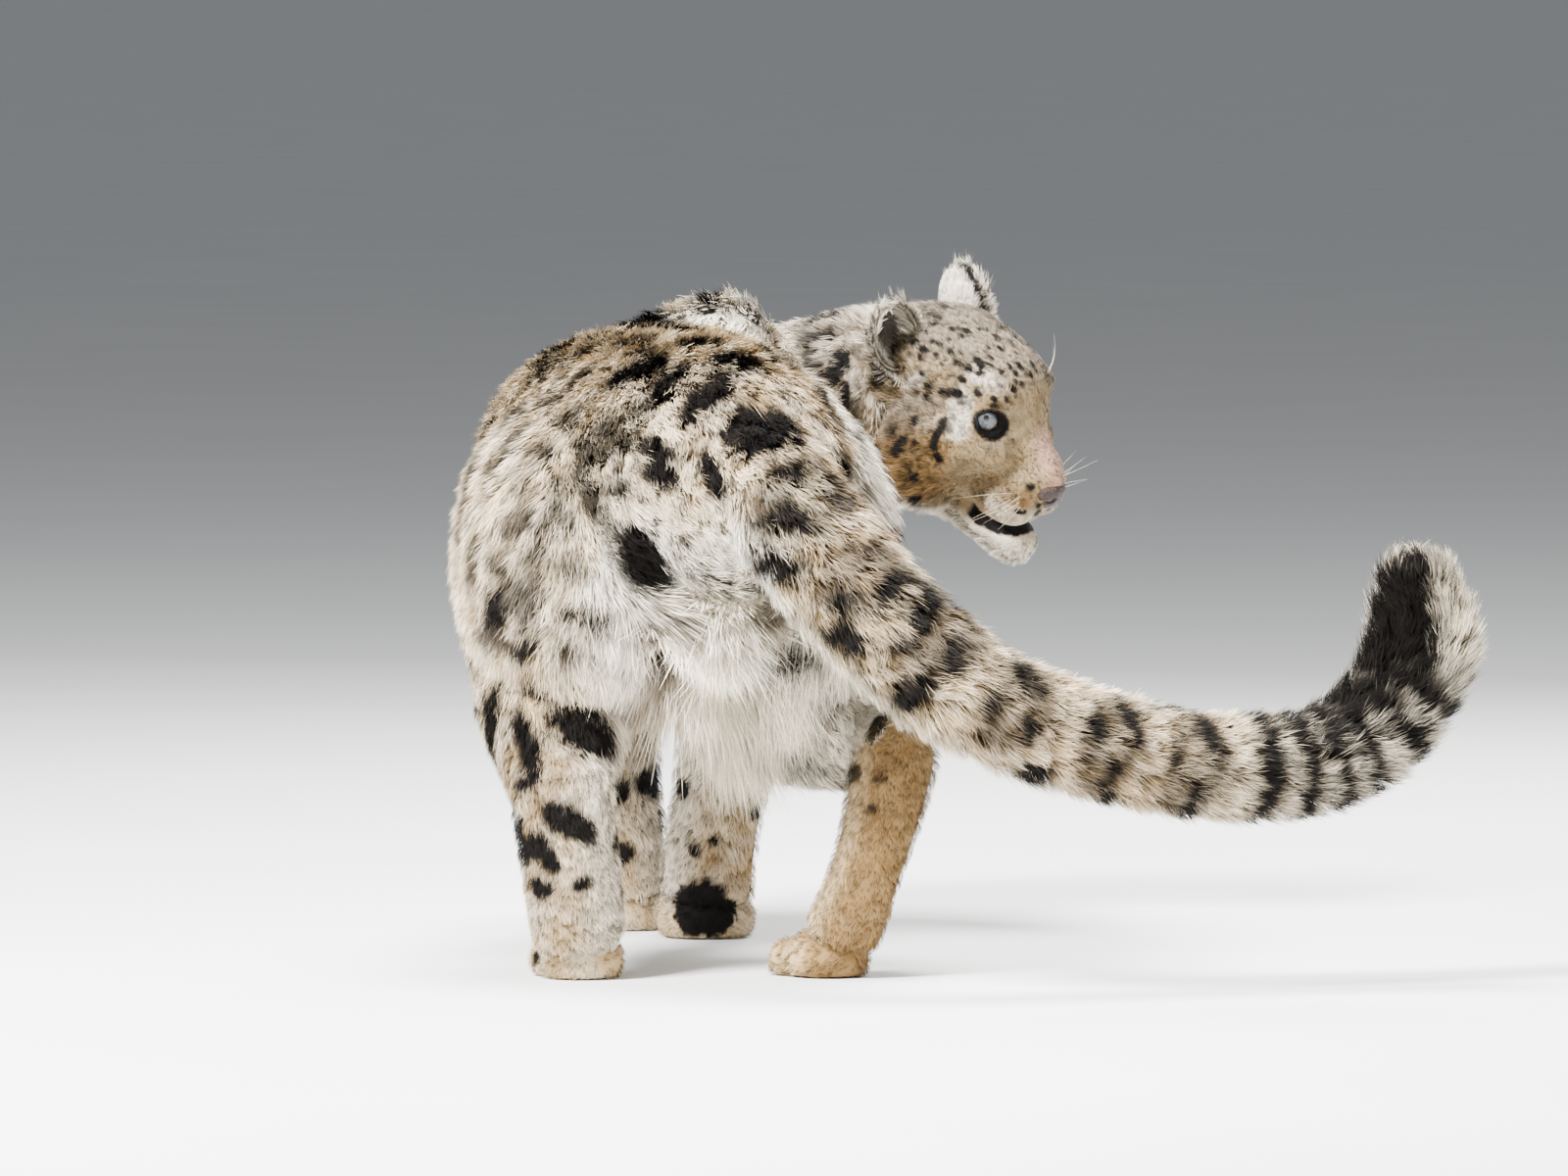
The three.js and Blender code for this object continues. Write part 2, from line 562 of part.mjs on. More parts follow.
// A paw on its flat sole: the pad's body, four toes in a fan, and the round of the heel.
function pawSolid({ at, heading, wide, long, tall }, more = 0) {
  const turn = new THREE.Matrix4().makeRotationZ(heading * DEGREE);
  const spot = (x, y, z) => {
    const p = new THREE.Vector3(x, y, 0).applyMatrix4(turn);
    return [at[0] + p.x, at[1] + p.y, z];
  };
  const pad = [wide + more, long * 0.86 + more, tall * 0.72 + more];
  const pieces = [ball(spot(0, -4, tall * 0.34), pad, turn, 8, 5)];
  const toes = 4;
  for (let i = 0; i < toes; i++) {
    const place = (i - (toes - 1) / 2) / ((toes - 1) / 2);
    const ahead = long * (0.78 - 0.3 * place * place);
    const size = [wide * 0.31 + more, long * 0.36 + more, tall * 0.46 + more];
    pieces.push(ball(spot(place * wide * 0.7, ahead, tall * 0.28), size, turn, 5, 4));
  }
  const above = new THREE.BoxGeometry(400, 400, 300).translate(at[0], at[1], 150);
  return joined(pieces).intersect(solid(above));
}

const rightOf = (heading) => [Math.cos(heading * DEGREE), Math.sin(heading * DEGREE), 0];
const tailLimb = new Limb(TAIL, [-0.5, 0.85, 0.2], [0.5, 0.9]);

const torsoLimb = new Limb(TORSO, null, [0.5, 0.6], SHOULDER_BLADES);
const neckLimb = new Limb(NECK, null, [0.4, 0.2]);
// A stretch of a limb: its solid with its locks, if any, and the room around it that is its node's alone.
function stretch(name, limb, { rings, sides, from = 0, to = 1, share = CORE_SHARE, coat }) {
  const core = solid(limb.geometry(rings, sides, share, 0, from, to));
  const gap = GAP / limb.length;
  return {
    name,
    body: coat ? wasm.Manifold.union([core, ...locks(limb, coat)]) : core,
    room(more) {
      const [low, high] = [from && from - (more && gap), to === 1 ? 1 : to + (more && gap)];
      return solid(limb.geometry(ROOM_MESH.rings, ROOM_MESH.sides, 1, ROOM + more, low, high));
    },
  };
}

// Every stretch of flesh, in the order in which a later one makes room for those before it.
const flesh = [{ name: "head", body: headShape(0), room: (more) => headShape(HEAD_ROOM + more, 12, 14) }];
flesh.push(stretch("neck", neckLimb, { rings: 4, sides: 12, coat: COATS.neck }));
TORSO_LENGTHS.forEach(({ name, from, to }, i) => {
  const coat = { ...COATS.torso, from: to, to: Math.max(FIRST_ON_TORSO, from), seed: COATS.torso.seed + i };
  flesh.push(stretch(name, torsoLimb, { rings: 3, sides: 14, from, to, coat }));
});
for (const [side, outward] of [["left", -1], ["right", 1]]) {
  const haunch = rightOf(HAUNCH_HEADING[side]);
  const arm = rightOf(ARM_HEADING[side]);
  const outer = (u, angle) => outward * Math.cos(angle) > -0.4;
  const rear = (u, angle) => Math.sin(angle) < 0.2;
  const [thigh, shank] = [new Limb(THIGH[side], haunch), new Limb(SHANK[side], haunch, [0.6, 0.8])];
  const foot = new Limb(HIND_FOOT[side], haunch, [0.9, 0.3]);
  const [upper, lower] = [new Limb(UPPER_ARM[side], arm), new Limb(FOREARM[side], arm, [0.6, 0.3])];
  flesh.push(
    stretch(`thigh_${side}`, thigh, { rings: 4, sides: 12, coat: { ...COATS.thigh, grows: outer } }),
    stretch(`shank_${side}`, shank, { rings: 3, sides: 10, coat: { ...COATS.shank, grows: rear } }),
    stretch(`hind_foot_${side}`, foot, { rings: 3, sides: 10, share: 1 }),
    stretch(`upper_arm_${side}`, upper, { rings: 3, sides: 10, coat: { ...COATS.upper_arm, grows: outer } }),
    stretch(`forearm_${side}`, lower, { rings: 4, sides: 10, share: 1 }),
  );
}
TAIL_LENGTHS.forEach(({ name, from, to }, i) => {
  const spec = COATS[name] ?? COATS.tail;
  const coat = { ...spec, from, to, seed: spec.seed + i };
  flesh.push(stretch(name, tailLimb, { rings: 3, sides: 8, from, to, coat }));
});

const near = (a, b) => {
  const [p, q] = [a.boundingBox(), b.boundingBox()];
  return p.min.every((low, i) => low < q.max[i] && q.min[i] < p.max[i]);
};

// The whole body is one, and thin gaps part it into its nodes.
const whole = wasm.Manifold.union(flesh.map((part) => part.body));
const solids = new Map();
const taken = [];
for (const { name, room } of flesh) {
  let made = whole.intersect(room(0));
  for (const other of taken) if (near(made, other)) made = made.subtract(other);
  solids.set(name, largest(made));
  taken.push(room(GAP));
}
solids.set("head", headSolid(solids.get("head")));
for (const [name, paw] of Object.entries(PAW)) {
  const [end, side] = name.split("_");
  const foot = end === "hind" ? `hind_foot_${side}` : `forearm_${side}`;
  solids.set(`${end}_paw_${side}`, largest(pawSolid(paw)));
  solids.set(foot, largest(solids.get(foot).subtract(pawSolid(paw, GAP))));
}
for (const [name, side] of [["left", 1], ["right", -1]]) {
  solids.set(`eye_${name}`, eyeBall(side));
  solids.set(`ear_${name}`, largest(earSolid(side).subtract(headShape(GAP))));
}
solids.set("nose", largest(nosePad().subtract(nostril(1)).subtract(nostril(-1))));

const COLOURS = { eye: 0x9fb0b4, nose: 0x6b3f3a, ear: 0xbdb6a4, paw: 0xc9b48a, tail: 0xcfc8b8 };
const leopard = new THREE.Group();
for (const [name, made] of solids) {
  const kind = Object.keys(COLOURS).find((k) => name.includes(k));
  const material = new THREE.MeshStandardMaterial({ color: COLOURS[kind] ?? 0xd6cfbd, roughness: 0.9, metalness: 0 });
  if (kind === "eye") material.roughness = 0.1;
  const mesh = new THREE.Mesh(geometryOf(made), material);
  mesh.name = name;
  leopard.add(mesh);
}

// The frame's origin is on the floor, under the middle of the whole.
const box = new THREE.Box3().setFromObject(leopard);
const middle = box.getCenter(new THREE.Vector3());
leopard.position.set(-middle.x, -middle.y, -box.min.z);

export default leopard;
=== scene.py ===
from math import cos, pi, radians, sin

import bpy
import numpy as np
from bpy.props import FloatProperty, FloatVectorProperty, PointerProperty
from mathutils import Matrix, Vector
from mathutils.kdtree import KDTree


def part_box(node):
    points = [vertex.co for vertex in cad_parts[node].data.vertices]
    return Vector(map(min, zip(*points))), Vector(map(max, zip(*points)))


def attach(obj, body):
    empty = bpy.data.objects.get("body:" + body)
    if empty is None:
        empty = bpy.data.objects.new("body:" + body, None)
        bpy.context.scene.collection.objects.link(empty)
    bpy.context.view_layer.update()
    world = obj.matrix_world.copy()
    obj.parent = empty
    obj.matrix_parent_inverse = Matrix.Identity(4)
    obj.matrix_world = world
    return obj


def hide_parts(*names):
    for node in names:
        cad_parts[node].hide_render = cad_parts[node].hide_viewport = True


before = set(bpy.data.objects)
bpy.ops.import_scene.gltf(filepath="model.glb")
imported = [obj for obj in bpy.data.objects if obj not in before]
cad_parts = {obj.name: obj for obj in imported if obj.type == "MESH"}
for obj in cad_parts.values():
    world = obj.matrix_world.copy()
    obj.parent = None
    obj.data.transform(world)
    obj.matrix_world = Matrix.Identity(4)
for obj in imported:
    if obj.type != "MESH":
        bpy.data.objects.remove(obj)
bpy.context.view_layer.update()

# A snow leopard that looks back over its right shoulder: skin, coat, eyes, nose, whiskers and studio.
bl_info = {
    "name": "Snow leopard",
    "version": (1, 0, 0),
    "blender": (4, 5, 0),
    "location": "3D View > Sidebar > Snow leopard",
    "description": "Skin, coat, eyes and whiskers of a standing snow leopard",
    "category": "Add Mesh",
}

# Sizes of the flesh in millimetres, as in the solids. Each station is its centre, half width across, reach above
# or ahead, reach below or behind, depth of the coat there, and depth of the coat on the lower or rear side.
TORSO = [
    (50, -148, 446, 54, 54, 64, 32, 34), (34, -98, 462, 94, 96, 104, 34, 38),
    (4, 0, 466, 112, 108, 122, 36, 40), (-36, 120, 462, 106, 110, 116, 36, 50),
    (-62, 255, 452, 110, 112, 130, 36, 62), (-50, 400, 446, 116, 114, 142, 34, 62),
    (-6, 530, 446, 114, 120, 142, 34, 56), (44, 622, 450, 92, 100, 116, 32, 48),
    (74, 672, 452, 56, 60, 72, 30, 44)]
SHOULDER_BLADES = [((-62, 560, 560), 62, 12), ((40, 505, 580), 56, 40)]
NECK = [
    (10, 540, 452, 88, 84, 96, 28, 44), (60, 606, 478, 78, 74, 86, 28, 44),
    (108, 628, 500, 70, 66, 78, 28, 42), (152, 612, 518, 66, 62, 72, 27, 38),
    (186, 582, 530, 62, 58, 66, 24, 32)]
TAIL = [(x, y, z, r, r, r, c, c) for x, y, z, r, c in [
    (30, -84, 512, 34, 26), (62, -142, 488, 31, 34), (92, -188, 446, 28, 38), (135, -216, 393, 26, 40),
    (184, -220, 341, 25, 40), (247, -212, 286, 24, 38), (323, -190, 247, 22, 37), (405, -162, 222, 20, 37),
    (487, -132, 207, 19, 37), (560, -104, 207, 18, 39), (619, -84, 228, 17, 42), (660, -72, 271, 16, 45),
    (678, -70, 320, 15, 46), (676, -76, 362, 12, 38)]]
THIGH = {
    "left": [
        (-46, 18, 505, 54, 84, 78, 32, 40), (-92, 14, 440, 78, 104, 102, 34, 46),
        (-114, 34, 375, 74, 92, 98, 34, 52), (-126, 62, 318, 60, 70, 78, 30, 50),
        (-132, 74, 284, 50, 52, 60, 26, 42)],
    "right": [
        (56, 52, 505, 54, 84, 78, 32, 40), (80, 72, 440, 72, 104, 102, 34, 50),
        (84, 108, 372, 70, 90, 100, 32, 60), (84, 138, 308, 60, 72, 86, 30, 58),
        (80, 154, 266, 48, 50, 64, 26, 54)]}
SHANK = {
    "left": [
        (-132, 68, 300, 50, 48, 56, 26, 44), (-128, 36, 254, 46, 42, 52, 26, 42),
        (-121, -2, 212, 40, 34, 42, 22, 28), (-114, -28, 182, 37, 30, 34, 18, 16)],
    "right": [
        (80, 162, 272, 46, 44, 56, 26, 54), (112, 120, 236, 44, 38, 54, 26, 52),
        (154, 70, 216, 36, 30, 42, 20, 38), (190, 26, 212, 29, 26, 31, 16, 15)]}
HIND_FOOT = {
    "left": [
        (-115, -30, 192, 37, 30, 32, 18, 14), (-111, -30, 140, 35, 29, 30, 16, 13),
        (-104, -20, 84, 36, 30, 29, 13, 12), (-99, -4, 40, 37, 31, 28, 10, 10)],
    "right": [
        (194, 14, 206, 29, 28, 30, 17, 15), (182, 0, 152, 28, 27, 28, 13, 12),
        (165, 0, 94, 28, 27, 27, 9, 8), (146, 13, 42, 32, 30, 28, 9, 8)]}
UPPER_ARM = {
    "left": [
        (-62, 562, 470, 50, 74, 70, 30, 34), (-84, 552, 410, 52, 76, 72, 30, 36),
        (-92, 522, 345, 48, 58, 60, 28, 36), (-90, 502, 296, 42, 46, 48, 24, 32)],
    "right": [
        (54, 496, 470, 50, 74, 70, 30, 34), (72, 482, 410, 54, 76, 72, 30, 36),
        (74, 446, 345, 50, 58, 60, 28, 36), (64, 424, 296, 42, 46, 48, 24, 32)]}
FOREARM = {
    "left": [
        (-90, 504, 312, 42, 44, 46, 24, 30), (-82, 520, 240, 36, 38, 38, 20, 24),
        (-72, 548, 160, 32, 33, 32, 15, 18), (-64, 566, 90, 32, 32, 32, 12, 13),
        (-62, 574, 44, 34, 33, 30, 10, 10)],
    "right": [
        (64, 426, 312, 42, 44, 46, 24, 30), (50, 440, 240, 38, 38, 38, 20, 24),
        (32, 460, 160, 35, 33, 32, 16, 18), (20, 472, 90, 36, 32, 32, 13, 13),
        (16, 478, 44, 38, 33, 30, 11, 10)]}
# Each paw's place on the floor, its angle to the left of straight ahead, half width, half length and height.
PAWS = {
    "hind_left": ((-99, 18), 14, 43, 52, 46), "hind_right": ((128, 34), 36, 42, 52, 46),
    "fore_left": ((-64, 596), 8, 48, 54, 50), "fore_right": ((15, 494), 2, 50, 54, 52)}
HAUNCH_HEADING = {"left": 22, "right": 20}
ARM_HEADING = {"left": 4, "right": 0}

# The view from behind: the point it looks at, in metres, how far it looks down and from how far.
VIEW_AIM, VIEW_TILT, VIEW_DISTANCE = (0.0909, 0, 0.3636), 3, 12

# The head's own axes run forward, left and up from the point midway between the eyeballs.
HEAD_AT, HEAD_YAW, HEAD_PITCH, HEAD_ROLL, HEAD_SIZE = (305, 520, 507), 28, 27, 14, 1.05
# Soft forms of the head out to its short coat: centre, half sizes, blend, tilt, and whether it is a pair.
HEAD_FORMS = {
    "cranium": ((-64, 0, 14), (70, 66, 58), 1, 0, False),
    "forehead": ((-16, 0, 24), (46, 48, 38), 24, 0, False),
    "cheekbone": ((-28, 46, -26), (46, 34, 38), 28, 0, True),
    "jaw_muscle": ((-46, 48, -62), (48, 38, 56), 22, 0, True),
    "nape": ((-112, 0, -14), (46, 62, 62), 26, 0, False),
    "throat": ((-46, 0, -84), (54, 48, 46), 26, 0, False),
    "bridge_rear": ((16, 0, -4), (36, 24, 24), 34, 28, False),
    "bridge": ((44, 0, -26), (38, 20, 20), 12, 32, False),
    "muzzle": ((32, 0, -60), (40, 36, 34), 28, 0, False),
    "whisker_pad": ((45, 20, -69), (25, 22, 22), 9, 0, True),
    "lower_jaw": ((6, 0, -106), (54, 32, 24), 20, 6, False),
    "chin": ((47, 0, -113), (27, 25, 23), 10, 0, False),
    "brow": ((-3, 35, 28), (22, 18, 12), 14, 0, True),
    "under_eye": ((10, 38, -25), (24, 16, 13), 24, 0, True)}
EYE_AT, EYE_RADIUS = (1, 40, 6), 14.5
LIDS_FACE = {1: (22, 4), -1: (38, 11)}  # how far the opening of each eye faces outward and up
EYE_GAZE = {1: (-12, 18), -1: (57, 27)}  # how far each eye looks outward and up
LID_LONG, LID_HIGH, LID_SLANT, LID_THICK = 14.2, 12.8, 20, 2.2
PAD_FOLD = ((66, 30, -64), (44, 38, -69))  # the crease under the whisker pad
CHEEK_FOLD = ((10, 46, -16), (-4, 56, -30))  # the crease under the eye
NOSE_AT, NOSE_HALF = (67, 0, -48.5), (14.5, 18.5, 17)
MOUTH_LINE = [(92, -80), (72, -86), (56, -92), (38, -96), (20, -95), (4, -88)]
EAR_AT, EAR_WIDE, EAR_TALL, EAR_DEEP = (-103, 61, 43), 25, 38, 19
EAR_OUTWARD, EAR_BACK, EAR_FACING = {1: 34, -1: 26}, {1: 50, -1: 20}, {1: 60, -1: 16}

# The long hair between the hind legs and under the tail's root: the middle and reach of each place, and how
# much longer the hair is there, in metres.
FRINGES = [((0.014, 0.07, 0.31), (0.095, 0.085, 0.1)), ((0.02, -0.05, 0.355), (0.06, 0.07, 0.03))]
FRINGE_LONG = 0.09
# The pale top of the right shoulder and the pale hair beside the tail's root: middle and reach.
SHOULDER_HUMP, PALE_REAR = ((0.03, 0.51, 0.6), (0.09, 0.1, 0.07)), ((-0.05, -0.06, 0.345), (0.06, 0.09, 0.09))
SKIN_SHARE = 0.5  # how far up the coat the skin's surface lies, where the tufts are rooted
FLESH = ["head", "neck", "chest", "belly", "rump", "tail_root", "tail_upper", "tail_middle", "tail_lower",
         "tail_tip"] + [f"{part}_{side}" for side in ("left", "right") for part in
                        ("thigh", "shank", "hind_foot", "upper_arm", "forearm", "hind_paw", "fore_paw")]
UP = np.array([0.0, 0.0, 1.0])
CAPS = (75, 55, 30)  # rings that round off a limb's end, in degrees from its side towards its pole
LIMB_SIDES, LIMB_STEP, LIMB_RINGS = 40, 0.012, 12  # the body's draft: points in a ring, metres between, least rings
GUIDE_SIDES, GUIDE_STEP, GUIDE_RINGS, GUIDES_NEAR = 28, 0.014, 10, 5  # the same for the guides of the coat's lie
BODY_VOXEL, BODY_PASSES = 0.005, 10  # how fine the body's skin is, and its rounds of softening
PAW_VOXEL, PAW_PASSES, PAW_FLOOR = 0.003, 2, 0.002  # the same for the paws, and their lowest point
PAW_REACH, PAW_TALL, PAW_COAT = 0.1, 0.06, 0.004  # how far and how high a paw reaches, and its coat's depth
PAW_INSET = 3  # how far the paws' skin lies inside their sizes, in millimetres
HEAD_LOW, HEAD_HIGH, HEAD_CELL = (-170.0, -92, -146), (92.0, 92, 84), 2.05  # box and cells of the head's skin
HEAD_REAR, HEAD_SPAN, HEAD_MIDDLE = -160, 260, -40  # where the head's places along and round it are counted from
TUFT_FLOOR = 0.0008  # the lowest that a tuft reaches, in metres


def unit(v):
    return v / np.maximum(np.linalg.norm(v, axis=-1, keepdims=True), 1e-12)


def smooth(low, high, x):
    t = np.clip((x - low) / (high - low), 0, 1)
    return t * t * (3 - 2 * t)


def eye_place(side):
    """The middle of an eyeball in the head's own millimetres."""
    return np.array([EYE_AT[0], side * EYE_AT[1], EYE_AT[2]], float)


def head_axes():
    """The head's forward, left and up in the frame."""
    yaw, pitch, roll = radians(HEAD_YAW), radians(HEAD_PITCH), radians(HEAD_ROLL)
    forward = np.array([cos(yaw) * cos(pitch), -sin(yaw) * cos(pitch), -sin(pitch)])
    level = np.array([sin(yaw), cos(yaw), 0.0])
    left = level * cos(roll) + np.cross(forward, level) * sin(roll)
    return np.stack([forward, left, np.cross(forward, left)])


HEAD_AXES = head_axes()


def head_to_body(p):
    """Points in the head's own millimetres, in the frame's metres."""
    return (np.asarray(p) @ HEAD_AXES * HEAD_SIZE + HEAD_AT) / 1000 + SHIFT


def body_to_head(p):
    """Points of the frame in the head's own millimetres."""
    return ((p - SHIFT) * 1000 - HEAD_AT) @ HEAD_AXES.T / HEAD_SIZE


# The stations are counted from between the hind feet, the frame from under the middle of the model's box.
SHIFT = np.zeros(3)
eye_low, eye_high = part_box("eye_right")
SHIFT = np.array((eye_low + eye_high) / 2) - head_to_body(eye_place(-1)[None])[0]


class Limb:
    """A soft limb through its stations, as in the solids."""

    def __init__(self, stations, right=None, ends=(0.5, 0.5), way=1, fall=0.0, swells=()):
        self.stations = np.array(stations, float) / 1000
        self.right = None if right is None else np.array(right, float)
        self.ends, self.way, self.fall, self.swells = ends, way, fall, swells
        middles = self.along(np.linspace(0, 1, 60))[:, :3]
        self.length = np.linalg.norm(np.diff(middles, axis=0), axis=1).sum()

    def along(self, u):
        """The station at each place, from 0 at the limb's first to 1 at its last."""
        spans = len(self.stations) - 1
        x = np.clip(u, 0, 1) * spans
        i = np.minimum(x.astype(int), spans - 1)
        t = (x - i)[:, None]
        a, b, c, d = (self.stations[np.clip(i + k, 0, spans)] for k in (-1, 0, 1, 2))
        return b + 0.5 * t * (c - a + t * (2 * a - 5 * b + 4 * c - d + t * (-a + 3 * b - 3 * c + d)))

    def frame(self, u):
        """The ways ahead, across and above at each place."""
        ahead = unit(self.along(np.minimum(1, u + 0.01))[:, :3] - self.along(np.maximum(0, u - 0.01))[:, :3])
        hint = np.cross(ahead, UP) if self.right is None else np.broadcast_to(self.right, ahead.shape)
        across = unit(hint - (hint * ahead).sum(1, keepdims=True) * ahead)
        return ahead, across, np.cross(across, ahead)

    def surface(self, u, angle, share, cap=0.0):
        """Points of the limb; cap turns them from the side of an end over to its pole."""
        s = self.along(u)
        ahead, across, above = self.frame(u)
        coat = (s[:, 6] + (s[:, 7] - s[:, 6]) * np.maximum(0, -np.sin(angle))) * share
        high = np.where(np.sin(angle) > 0, s[:, 4], s[:, 5])
        out = across * ((s[:, 3] + coat) * np.cos(angle))[:, None] + above * ((high + coat) * np.sin(angle))[:, None]
        reach = s[:, 3:6].mean(1) * np.where(u > 0.5, self.ends[1], self.ends[0]) + s[:, 6] * share
        cap = np.broadcast_to(cap, u.shape)
        p = s[:, :3] + out * np.cos(cap)[:, None] + ahead * (reach * np.sin(cap))[:, None]
        for at, wide, rise in self.swells:
            near = np.linalg.norm(p - np.array(at) / 1000, axis=1) / (wide / 1000)
            p += unit(out) * (rise / 1000 * np.exp(-near * near))[:, None]
        return p + SHIFT

    def grid(self, rings, sides, share):
        """Places, angles and caps of a closed grid over the whole limb, and its points."""
        caps = np.radians(CAPS)
        u = np.concatenate([np.zeros(len(caps)), np.linspace(0, 1, rings), np.ones(len(caps))])
        cap = np.concatenate([-caps, np.zeros(rings), caps[::-1]])
        angle = 2 * pi * np.arange(sides) / sides
        u, cap = np.repeat(u, sides), np.repeat(cap, sides)
        angle = np.tile(angle, rings + 2 * len(caps))
        return u, angle, self.surface(u, angle, share, cap)


def right_of(heading):
    """The way to the right of a heading in degrees to the left of straight ahead."""
    return (cos(radians(heading)), sin(radians(heading)), 0)


def make_limbs():
    limbs = {
        "torso": Limb(TORSO, None, (0.5, 0.6), -1, 0.3, SHOULDER_BLADES),
        "neck": Limb(NECK, None, (0.4, 0.2), -1, 0.25),
        "tail": Limb(TAIL, (-0.5, 0.85, 0.2), (0.5, 0.9))}
    for side in ("left", "right"):
        haunch, arm = right_of(HAUNCH_HEADING[side]), right_of(ARM_HEADING[side])
        limbs[f"thigh_{side}"] = Limb(THIGH[side], haunch)
        limbs[f"shank_{side}"] = Limb(SHANK[side], haunch, (0.6, 0.8), 1, 0.5)
        limbs[f"hind_foot_{side}"] = Limb(HIND_FOOT[side], haunch, (0.9, 0.3))
        limbs[f"upper_arm_{side}"] = Limb(UPPER_ARM[side], arm)
        limbs[f"forearm_{side}"] = Limb(FOREARM[side], arm, (0.6, 0.3))
    return limbs


LIMBS = make_limbs()
NAMES = list(LIMBS)


def grid_faces(rows, sides):
    """Faces of a closed grid of rings with a pole at each end, the poles being the last two points."""
    r, k = np.meshgrid(np.arange(rows - 1), np.arange(sides), indexing="ij")
    a, b = r * sides + k, r * sides + (k + 1) % sides
    quads = np.stack([a, b, b + sides, a + sides], -1).reshape(-1, 4)
    k = np.arange(sides)
    n = (k + 1) % sides
    poles = rows * sides
    first = np.stack([n, k, np.full(sides, poles)], -1)
    last = np.stack([k, n, np.full(sides, poles + 1)], -1) + [(rows - 1) * sides, (rows - 1) * sides, 0]
    return quads.tolist() + first.tolist() + last.tolist()


def closed(points, rows, sides):
    """The rings with a pole at each end, and their faces."""
    ends = np.stack([points[:sides].mean(0), points[-sides:].mean(0)])
    return np.concatenate([points, ends]), grid_faces(rows, sides)


def join(meshes):
    """Several meshes as one."""
    points, faces, start = [], [], 0
    for p, f in meshes:
        points.append(p)
        faces += [[start + i for i in face] for face in f]
        start += len(p)
    return np.concatenate(points), faces


def new_object(name, points, faces):
    """A mesh object from points and faces with any number of corners."""
    mesh = bpy.data.meshes.new(name)
    mesh.from_pydata(np.asarray(points).tolist(), [], faces)
    mesh.update()
    made = bpy.data.objects.new(name, mesh)
    bpy.context.scene.collection.objects.link(made)
    return made


def remeshed(points, faces, voxel, passes):
    """The joined closed pieces as one even skin, softened where they meet."""
    made = new_object("skin_draft", points, faces)
    remesh = made.modifiers.new("remesh", "REMESH")
    remesh.mode, remesh.voxel_size = "VOXEL", voxel
    soften = made.modifiers.new("soften", "SMOOTH")
    soften.factor, soften.iterations = 0.5, passes
    bpy.context.view_layer.update()
    mesh = bpy.data.meshes.new_from_object(made.evaluated_get(bpy.context.evaluated_depsgraph_get()))
    p = np.empty(len(mesh.vertices) * 3)
    mesh.vertices.foreach_get("co", p)
    f = np.empty(len(mesh.loops), np.int32)
    mesh.loops.foreach_get("vertex_index", f)
    bpy.data.objects.remove(made)
    bpy.data.meshes.remove(mesh)
    return p.reshape(-1, 3), f.reshape(-1, 4)


def vertex_normals(p, quads):
    """The way out at each point, from its faces by their size."""
    n = np.cross(p[quads[:, 2]] - p[quads[:, 0]], p[quads[:, 3]] - p[quads[:, 1]])
    out = np.zeros_like(p)
    for k in range(4):
        np.add.at(out, quads[:, k], n)
    return unit(out)


def ellipsoid(at, half, turn, rows=14, sides=20):
    """A closed ball stretched to the given half sizes and turned."""
    theta = np.linspace(0, pi, rows + 2)[1:-1]
    phi = 2 * pi * np.arange(sides) / sides
    t, f = np.repeat(theta, sides), np.tile(phi, rows)
    p = np.stack([np.sin(t) * np.cos(f), np.sin(t) * np.sin(f), -np.cos(t)], 1)
    p = np.concatenate([p, [[0, 0, -1], [0, 0, 1]]]) * half
    return p @ np.array(turn.to_3x3()).T + at, grid_faces(rows, sides)


def paw_pieces(paw):
    """A paw's pad and its four toes, as closed balls."""
    (x, y), heading, wide, long, tall = paw
    turn = Matrix.Rotation(radians(heading), 4, "Z")

    def spot(across, ahead, high):
        return (np.array([x, y, high]) + np.array(turn @ Vector((across, ahead, 0)))) / 1000 + SHIFT

    def piece(across, ahead, high, half):
        return ellipsoid(spot(across, ahead, high), (np.array(half) - PAW_INSET) / 1000, turn)

    pieces = [piece(0, -4, tall * 0.36, (wide, long * 0.86, tall * 0.7))]
    for i in range(4):
        place = (i - 1.5) / 1.5
        ahead = long * (0.78 - 0.3 * place * place)
        pieces.append(piece(place * wide * 0.7, ahead, tall * 0.34, (wide * 0.31, long * 0.36, tall * 0.46)))
    return pieces


def soft_min(a, b, blend):
    """The lesser of two distances, rounded over where they are alike."""
    h = np.maximum(0, blend - np.abs(a - b)) / blend
    return np.minimum(a, b) - h * h * blend / 4


def head_distance(p):
    """How far points lie outside the head's soft forms, in the head's own millimetres."""
    total = None
    for at, half, blend, tilt, pair in HEAD_FORMS.values():
        half = np.array(half, float)
        c, s = cos(radians(tilt)), sin(radians(tilt))
        for side in (1, -1) if pair else (1,):
            f, u = p[:, 0] - at[0], p[:, 2] - at[2]
            q = np.stack([f * c - u * s, p[:, 1] - side * at[1], f * s + u * c], 1) / half
            k0 = np.linalg.norm(q, axis=1)
            k1 = np.linalg.norm(q / half, axis=1)
            d = k0 * (k0 - 1) / np.maximum(k1, 1e-9)
            total = d if total is None else soft_min(total, d, blend)
    return total


def mouth_height(forward):
    """How high the line of the mouth runs, by place along the head."""
    line = np.array(MOUTH_LINE[::-1], float)
    return np.interp(forward, line[:, 0], line[:, 1])


def side_of(p):
    """Points turned over to the left half of the head."""
    return p * [1, 0, 1] + np.abs(p) * [0, 1, 0]


def segment(p, a, b):
    """How far points lie from a straight stroke between two places."""
    a, b = np.array(a, float), np.array(b, float)
    t = np.clip((p - a) @ (b - a) / ((b - a) @ (b - a)), 0, 1)
    return np.linalg.norm(p - a - t[:, None] * (b - a), axis=1)


